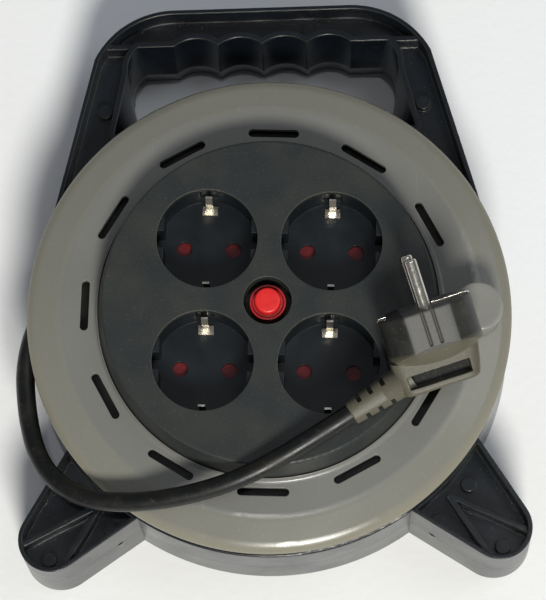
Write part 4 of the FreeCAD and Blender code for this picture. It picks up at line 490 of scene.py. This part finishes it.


# Socket plate and cups
# One black-grey moulding with a drafted wall, four round holes and the well for the reset button, scuffed
# and dusty. Under each hole stands a darker, cleaner cup with flats at its sides and pin holes in its floor.
# Both carry a painted highlight along their edges.
dark = Finish("dark_moulding", photographed(35, 39, 39), shine=0.3)
dark_edge_highlight = dark.edges(0.0006)
dark.tint(dark.cloud(0.02, 0.42, 0.72, 5.0), photographed(50, 51, 45), 0.6)
# Painted highlight: paler colour along the edges.
dark.tint(dark_edge_highlight, photographed(118, 118, 102), 0.55)
dark.tint(dark.cloud(0.0009, 0.62, 0.72), photographed(110, 106, 92), 0.20)
dark.rough(dark.cloud(0.01), 0.40, 0.58)
dark.raised(dark.cloud(0.0008), 0.00004, 0.5)
dress(nodes["socket_plate"], dark.done())
cup = Finish("cup_moulding", photographed(10, 16, 20), shine=0.3)
cup_edge_highlight = cup.edges(0.0003)
cup.tint(cup.cloud(0.01, 0.42, 0.72), photographed(24, 31, 36), 0.6)
# Painted highlight: paler colour along the edges.
cup.tint(cup_edge_highlight, photographed(70, 80, 84), 0.35)
cup.rough(cup.cloud(0.008), 0.34, 0.48)
cup.raised(cup.cloud(0.0008), 0.00003, 0.4)
dress_nodes(["socket_cup_" + number for number in "1234"], cup.done())


# Contacts and their carrier
# Pale carrier plate and cover with brass bars between them; plated spring sheet for the earth clips, and
# plain wire for the return springs.
INNER = mottled("inner_moulding", (196, 190, 170), (180, 172, 150), (0.01, 0.4, 0.5), (0.01, 0.45, 0.6),
                (0.001, 0.00003, 0.4), shine=0.4)
dress_nodes(("contact_carrier", "carrier_cover", "cable_clamp"), INNER)
BRASS = mottled("stamped_brass", (206, 172, 104), (160, 126, 74), (0.004, 0.4, 0.5), (0.002, 0.22, 0.4),
                (0.0005, 0.00002, 0.4), metallic=1.0)
dress_nodes(("live_bar", "neutral_bar", "earth_bar"), BRASS)
PLATED = mottled("plated_sheet", (222, 216, 202), (196, 184, 160), (0.002, 0.45, 0.4), (0.0015, 0.14, 0.30),
                 (0.0005, 0.00002, 0.4), metallic=1.0)
dress_nodes(["earth_clip_" + number for number in "1234"], PLATED)
WIRE = mottled("spring_wire", (150, 150, 148), (110, 108, 100), (0.001, 0.4, 0.5), (0.001, 0.25, 0.4),
               (0.0003, 0.00001, 0.4), metallic=1.0)
dress_nodes(["reset_spring"] + ["shutter_spring_" + number for number in "1234"], WIRE)


# Cut-out, reset button and shutters
# The case is dark grey. The button is a glossy red disc with a soft rim, a groove and a raised cap; it has a
# stem with a catch. Painted shade darkens the button below its cap, over the groove and the rim, and a painted
# highlight lies on its edges. The shutters are darker red.
CATCH_RADIUS, STEM_RADIUS, DISC_RADIUS, CAP_RADIUS = 3.1, 2.4, 7.0, 5.0
RIM_INSIDE, GROOVE_RADIUS, CAP_DOME = 6.2, 6.0, 0.2
BUTTON_FOOT, CATCH_TOP, DISC_LOW, GROOVE_FLOOR, RIM_TOP, CAP_TOP = 50.0, 51.5, 64.0, 68.6, 70.0, 73.5
SHADE_NONE, SHADE_FULL = 0.0709, 0.0699
case = mottled("cutout_case", (46, 46, 46), (66, 64, 60), (0.004, 0.4, 0.5), (0.003, 0.4, 0.55),
               (0.0008, 0.00003, 0.4), shine=0.4)
dress(nodes["cutout_body"], case)
red = Finish("red_moulding", photographed(208, 34, 32), shine=0.5)
red_edge_highlight = red.edges(0.0003)
red.tint(red.cloud(0.003, 0.4, 0.7), photographed(188, 26, 26), 0.5)
# Painted shade: darker red below the cap's upper edge, over the groove and the rim.
red.tint(red.along((0, 0, -1), -SHADE_NONE, -SHADE_FULL), photographed(136, 30, 34), 0.8)
# Painted highlight: paler red along the edges.
red.tint(red_edge_highlight, photographed(224, 92, 88), 0.3)
red.rough(red.cloud(0.002), 0.26, 0.40)
red.raised(red.cloud(0.0008), 0.00003, 0.4)
button_section = rounded([
    (0.0, BUTTON_FOOT), (CATCH_RADIUS, BUTTON_FOOT), (CATCH_RADIUS, CATCH_TOP), (STEM_RADIUS, CATCH_TOP),
    (STEM_RADIUS, DISC_LOW), (DISC_RADIUS, DISC_LOW), (DISC_RADIUS, RIM_TOP), (RIM_INSIDE, RIM_TOP),
    (GROOVE_RADIUS, GROOVE_FLOOR), (CAP_RADIUS, GROOVE_FLOOR), (CAP_RADIUS, CAP_TOP), (0.0, CAP_TOP - CAP_DOME),
], [0, 0.4, 0.4, 0.2, 0.2, 0.6, 1.0, 0.3, 0.3, 0.3, 0.9, 0])
button = turned("button", button_section[4:-4], 96)
stand_in(button, red.done(), "reset_button", "button")
SHUTTER = mottled("shutter_moulding", (98, 22, 26), (74, 18, 22), (0.003, 0.4, 0.6), (0.002, 0.32, 0.45),
                  (0.0008, 0.00003, 0.4), shine=0.3)
dress_nodes(["shutter_" + number for number in "1234"], SHUTTER)


# Inner end of the cord
# The sheath ends inside the hub under its clamp; three leads, all in brown here, go on to the bars.
LEAD_RADIUS = 0.0013
DRUM_TURN = math.radians(-3.1)
lead_cover = mottled("lead_cover", (120, 84, 48), (96, 66, 40), (0.004, 0.4, 0.5), (0.003, 0.4, 0.55),
                     (0.0008, 0.00003, 0.4), shine=0.4)


def on_drum(points):
    """Points in millimetres on the drum before it is turned, turned about Z as it lies and put in metres."""
    across, up, height = np.asarray(points, float).T
    return np.stack([across * math.cos(DRUM_TURN) - up * math.sin(DRUM_TURN),
                     across * math.sin(DRUM_TURN) + up * math.cos(DRUM_TURN), height], axis=-1) * MM


LEAD_ROUTES = [
    [(-43.5, -1.6, 15.6), (-34, -1.6, 15.6), (-19, -7.5, 24), (-8, -8, 24.8), (-8, -8, 28), (-8, -8, 33)],
    [(-43.5, 1.6, 15.6), (-33, 1.6, 15.6), (-14.5, 3, 23.5), (-14.5, 3, 27), (-14.5, 3, 31)],
    [(-43.5, 0, 18.7), (-36, 0, 18.7), (-30, 7, 20.5), (-24, 14, 24), (-24, 14, 28), (-24, 14, 48.4)],
]
leads = flexible("three_leads", [on_drum(route) for route in LEAD_ROUTES], LEAD_RADIUS)
stand_in(leads, lead_cover, "inner_leads", "drum")
cord_end = flexible("cord_end", [on_drum([(-58.5, 0, 17), (-51, 0, 17), (-43.5, 0, 17)])], CORD_RADIUS)
stand_in(cord_end, SHEATH, "cord_inner_end", "drum")


# Plug
# Moulded on the cord: a round front with two flats and a pair of fine grooves, a sloping collar, a flat grip
# with a finger recess. Shapes are worked out in the plug's own side, up and back, in millimetres. Light and
# shade are painted into the rubber: lighter flats between darker sides, a lighter collar and grip, a dark
# recess and highlighted edges.
PLUG_FACE = np.array([0.05805, -0.00903, 0.09390])
PLUG_WAYS = np.array([[0.9593, 0.2767, 0.0560], [0.0400, -0.3296, 0.9433], [0.2794, -0.9027, -0.3272]])
FRONT_RADIUS, FRONT_FLAT, FRONT_DEPTH, FRONT_POWER = 18.25, 16.0, 13.5, 40
COLLAR_LENGTH, GRIP_HALF, GRIP_POWER, HALF_WIDTH = 7.0, 9.5, 7, 17.1
FACE_ROUND, END_ROUND, END_ROUND_FROM, PLUG_END = 0.7, 1.5, 28.7, 30.2
GROOVE_NEAR, GROOVE_FAR, GROOVE_SOFT, GROOVE_DEPTH, GROOVE_END = 1.65, 2.45, 0.12, 1.1, 13.4
RECESS_LEFT, RECESS_RIGHT, RECESS_FRONT, RECESS_BACK, RECESS_DEPTH = -13.5, 9.6, 22.9, 27.3, 4.2
RECESS_SIDE_SOFT, RECESS_BACK_SOFT = 0.5, 0.35
STRIP_ROOM_HALF, STRIP_ROOM_END, STRIP_ROOM_FLOOR, STRIP_ROOM_SOFT = 2.65, 12.1, 16.7, 0.15
OUT_ON_FRONT, OUT_ON_GRIP = 12, 6


def at_plug(points):
    """Side, up and back from the middle of the plug's face, in millimetres, to the reel's metres."""
    return PLUG_FACE + MM * (points @ PLUG_WAYS)


def step(value, low, high):
    """Smooth step from nought at low to one at high: three times the square less twice the cube."""
    share = np.clip((value - low) / (high - low), 0, 1)
    return share * share * (3 - 2 * share)


def within(value, low, high, soft):
    """One between low and high, falling to nought over a soft edge outside."""
    return step(value, low - soft, low) * (1 - step(value, high, high + soft))


def superellipse(turn, wide, tall, power):
    """Reach of a squarish oval at each turn; wide and tall are halves, and power makes it squarer."""
    return ((np.abs(np.cos(turn)) / wide) ** power + (np.abs(np.sin(turn)) / tall) ** power) ** (-1 / power)


def quarter_round(share):
    """The fall of a quarter circle at a share of its radius: one less the root of one less the square."""
    return 1 - np.sqrt(1 - share ** 2)


turn = np.linspace(0, 2 * np.pi, 320, endpoint=False)[:, None]
station = np.concatenate([
    FACE_ROUND * (1 - np.cos(np.linspace(0, 1.57, 7))),
    np.arange(1.2, 13.4, 0.61),
    [13.45, 13.55],
    np.arange(14.0, 20.4, 0.5),
    [20.45, 20.55],
    np.arange(20.8, 28.0, 0.2),
    np.linspace(28.0, PLUG_END, 14),
])[None, :]
front = ((1 / FRONT_RADIUS) ** FRONT_POWER
         + (np.abs(np.sin(turn)) / FRONT_FLAT) ** FRONT_POWER) ** (-1 / FRONT_POWER) + 0 * station
right_reach = np.interp(station, [0, 15.5, PLUG_END], [17.0, 17.0, 12.6])
left_reach = np.interp(station, [0, 16.8, 19.5, 25.0, PLUG_END], [17.1, 17.1, 18.6, 18.2, 16.5])
grip = superellipse(turn, np.where(np.cos(turn) > 0, right_reach, left_reach), GRIP_HALF, GRIP_POWER)
mixed = np.clip((station - FRONT_DEPTH) / COLLAR_LENGTH, 0, 1)
size = front * (1 - mixed) + grip * mixed
size -= FACE_ROUND * quarter_round(1 - np.clip(station / FACE_ROUND, 0, 1))
size -= END_ROUND * quarter_round(np.clip((station - END_ROUND_FROM) / (END_ROUND + 0.001), 0, 1))
side, up = size * np.cos(turn), size * np.sin(turn)
bow = np.interp(station, [0, 13.5, 20.5, 25, PLUG_END], [0, 3.4, -3.6, -0.6, 0])
back = station + bow * (side / HALF_WIDTH) ** 2
groove = (within(np.abs(side), GROOVE_NEAR, GROOVE_FAR, GROOVE_SOFT) * (back < GROOVE_END)
          * (np.abs(up) > OUT_ON_FRONT))
recess = (within(side, RECESS_LEFT, RECESS_RIGHT, RECESS_SIDE_SOFT)
          * within(back, RECESS_FRONT, RECESS_BACK, RECESS_BACK_SOFT) * (np.abs(up) > OUT_ON_GRIP))
up = up - np.sign(up) * (GROOVE_DEPTH * groove + RECESS_DEPTH * recess)
strip_room = within(np.abs(up), 0, STRIP_ROOM_HALF, STRIP_ROOM_SOFT) * (back < STRIP_ROOM_END)
side = np.where(strip_room > 0.5, np.sign(side) * np.minimum(np.abs(side), STRIP_ROOM_FLOOR), side)
plug_shell = skin("plug_shell", at_plug(np.stack([side, up, back], axis=-1)), crease=22)

PAINTED_FLAT_HALF, PAINTED_LIGHT_FROM, PAINTED_LIGHT_FULL, RECESS_UP = 0.0088, 0.0136, 0.0156, 0.0085
rubber = Finish("plug_rubber", photographed(24, 24, 22), shine=0.35)
rubber_edge_highlight = rubber.edges(0.0005)
plug_side, plug_up, plug_back = PLUG_WAYS.tolist()
side_at, up_at, back_at = (PLUG_WAYS @ PLUG_FACE).tolist()
# Painted light: a band across the plug's middle, over the front's flats, is lighter; the sides outside it keep
# the dark base as painted shade.
rubber.tint(rubber.band(plug_side, side_at - PAINTED_FLAT_HALF, side_at + PAINTED_FLAT_HALF), photographed(72, 72, 70))
# Painted light: the collar, the grip and the strain relief are lighter and warmer, as lit rubber.
rubber.tint(rubber.along(plug_back, back_at + PAINTED_LIGHT_FROM, back_at + PAINTED_LIGHT_FULL), photographed(78, 75, 61), 0.9)
rubber.tint(rubber.cloud(0.010, 0.42, 0.72), photographed(84, 82, 73), 0.25)
shaded_recess = rubber.both(
    rubber.band(plug_side, side_at + (RECESS_LEFT - 0.3) * MM, side_at + (RECESS_RIGHT + 0.2) * MM),
    rubber.band(plug_back, back_at + (RECESS_FRONT - 0.1) * MM, back_at + (RECESS_BACK + 0.1) * MM))
shaded_recess = rubber.both(shaded_recess, rubber.band(plug_up, up_at - RECESS_UP, up_at + RECESS_UP))
# Painted shade: the finger recess is darker.
rubber.tint(shaded_recess, photographed(26, 29, 32), 0.85)
# Painted highlight: paler colour along the edges.
rubber.tint(rubber_edge_highlight, photographed(140, 136, 118), 0.4)
rubber.tint(rubber.cloud(0.0008, 0.62, 0.72), photographed(140, 134, 116), 0.2)
rubber.rough(shaded_recess, 0.48, 1.0)
rubber.raised(rubber.cloud(0.0008), 0.00004, 0.5)
RUBBER = rubber.done()
stand_in(plug_shell, RUBBER, "plug_body", "drum")


# Strain relief
# Tapered sleeve of the same rubber, three slots across each side, that grows out of the plug's grip.
RELIEF_ROOT = np.array([-17.2, 0.0, 24.7])
RELIEF_ANGLE = math.radians(14.8)
RELIEF_LENGTH, RELIEF_END_RADIUS, RELIEF_END_ROUND, RELIEF_POWER = 21.2, 4.6, 0.6, 2.4
SLOT_HALF, SLOT_SOFT, SLOT_SHARES = 0.75, 0.15, (0.25, 0.5, 0.75)
relief_way = np.array([-math.cos(RELIEF_ANGLE), 0.0, math.sin(RELIEF_ANGLE)])
relief_side = np.array([math.sin(RELIEF_ANGLE), 0.0, math.cos(RELIEF_ANGLE)])
relief_up = np.array([0.0, 1.0, 0.0])
length = np.concatenate([
    np.arange(-5.0, 20.6, 0.18),
    RELIEF_LENGTH - RELIEF_END_ROUND * (1 - np.sin(np.linspace(0, 1.57, 6))),
])[None, :]
turn = np.linspace(0, 2 * np.pi, 120, endpoint=False)[:, None]
round_end = RELIEF_END_ROUND * quarter_round(
    np.clip((length - RELIEF_LENGTH + RELIEF_END_ROUND) / (RELIEF_END_ROUND + 0.0001), 0, 1))
wide = np.interp(length, [-5, 0, RELIEF_LENGTH], [5.9, 5.8, RELIEF_END_RADIUS]) - round_end
tall = np.interp(length, [-5, -1, 3, 7, RELIEF_LENGTH], [9.0, 8.6, 7.0, 5.5, RELIEF_END_RADIUS]) - round_end
size = superellipse(turn, wide, tall, RELIEF_POWER)
slots = sum(within(length, RELIEF_LENGTH * share - SLOT_HALF, RELIEF_LENGTH * share + SLOT_HALF, SLOT_SOFT)
            for share in SLOT_SHARES)
across = size * np.cos(turn)
deep = np.interp(length, [0, RELIEF_LENGTH], [3.4, 2.3])
across = np.where(slots > 0.5, np.clip(across, -deep, deep), across)
points = (RELIEF_ROOT + across[..., None] * relief_side + (size * np.sin(turn))[..., None] * relief_up
          + (length + 0 * turn)[..., None] * relief_way)
relief = skin("relief", at_plug(points), crease=40)
stand_in(relief, RUBBER, "strain_relief", "drum")


# Plug pins and earth contacts
# Turned pins with rounded tips; spring sheet arms let into the front's sides and folded over on to the face,
# where one of them is long.
PIN_RADIUS, PIN_TIP, PIN_ROOT = 2.4, -19.0, 3.0
PIN_OFFSET = np.array([0.0, 9.5, 0.0])
ARM_THICKNESS, ARM_WIDTH = 0.8, 5.2
BEND_SIDE, BEND_BACK, ARM_ON_SIDE = 16.65, 0.6, 17.65
LONG_ARM_FROM, SHORT_ARM_FROM, ARM_BEND_FROM = 3.4, 14.6, 16.0


def joined(first, second):
    """One piece of both meshes, under the first one's name."""
    work = bmesh.new()
    work.from_mesh(first.data)
    work.from_mesh(second.data)
    work.to_mesh(first.data)
    work.free()
    bpy.data.objects.remove(second)
    return first


def sheet_arm(hand, reach, steps):
    """A flat section carried along the face from its reach, round a quarter circle and back by the side."""
    fold = np.linspace(0, np.pi / 2, 8)
    path = np.vstack([np.stack([np.linspace(reach, ARM_BEND_FROM, steps), np.full(steps, -0.4)], -1),
                      np.stack([BEND_SIDE + np.sin(fold), BEND_BACK - np.cos(fold)], axis=-1),
                      np.stack([np.full(8, ARM_ON_SIDE), np.linspace(1.5, 12.0, 8)], -1)])
    way = np.gradient(path, axis=0)
    way /= np.linalg.norm(way, axis=1, keepdims=True)
    out = np.stack([way[:, 1], -way[:, 0]], axis=-1)
    thick, wide = ARM_THICKNESS / 2, ARM_WIDTH / 2
    ring = rounded([(-thick, -wide), (thick, -wide), (thick, wide), (-thick, wide)], [0.15] * 4, 3)
    flat = path[None, :, :] + ring[:, 0][:, None, None] * out[None, :, :]
    return np.stack([hand * flat[..., 0], ring[:, 1][:, None] + 0 * flat[..., 0], flat[..., 1]], axis=-1)


pin_section = rounded([(0, PIN_TIP), (PIN_RADIUS, PIN_TIP), (PIN_RADIUS, PIN_ROOT), (0, PIN_ROOT)],
                      [0, 2.1, 0, 0], 9)[8:-8]
pin_section = np.vstack([[0, PIN_TIP], pin_section, [0, PIN_ROOT]])
turn = np.linspace(0, 2 * np.pi, 64, endpoint=False)[:, None]
pin_points = np.stack([pin_section[:, 0] * np.cos(turn), pin_section[:, 0] * np.sin(turn),
                       pin_section[:, 1] + 0 * turn], axis=-1)
pins = joined(skin("pins", at_plug(pin_points + PIN_OFFSET)),
              skin("lower_pin", at_plug(pin_points - PIN_OFFSET)))
pin_metal = mottled("plated_pins", (206, 202, 190), (160, 152, 132), (0.004, 0.45, 0.4),
                    (0.002, 0.14, 0.28), (0.0006, 0.00001, 0.4), metallic=1.0)
stand_in(pins, pin_metal, "plug_pins", "drum")

contact = joined(skin("side_contacts", at_plug(sheet_arm(1, LONG_ARM_FROM, 8))),
                 skin("other_arm", at_plug(sheet_arm(-1, SHORT_ARM_FROM, 4))))
stand_in(contact, PLATED, "plug_earth_contact", "drum")
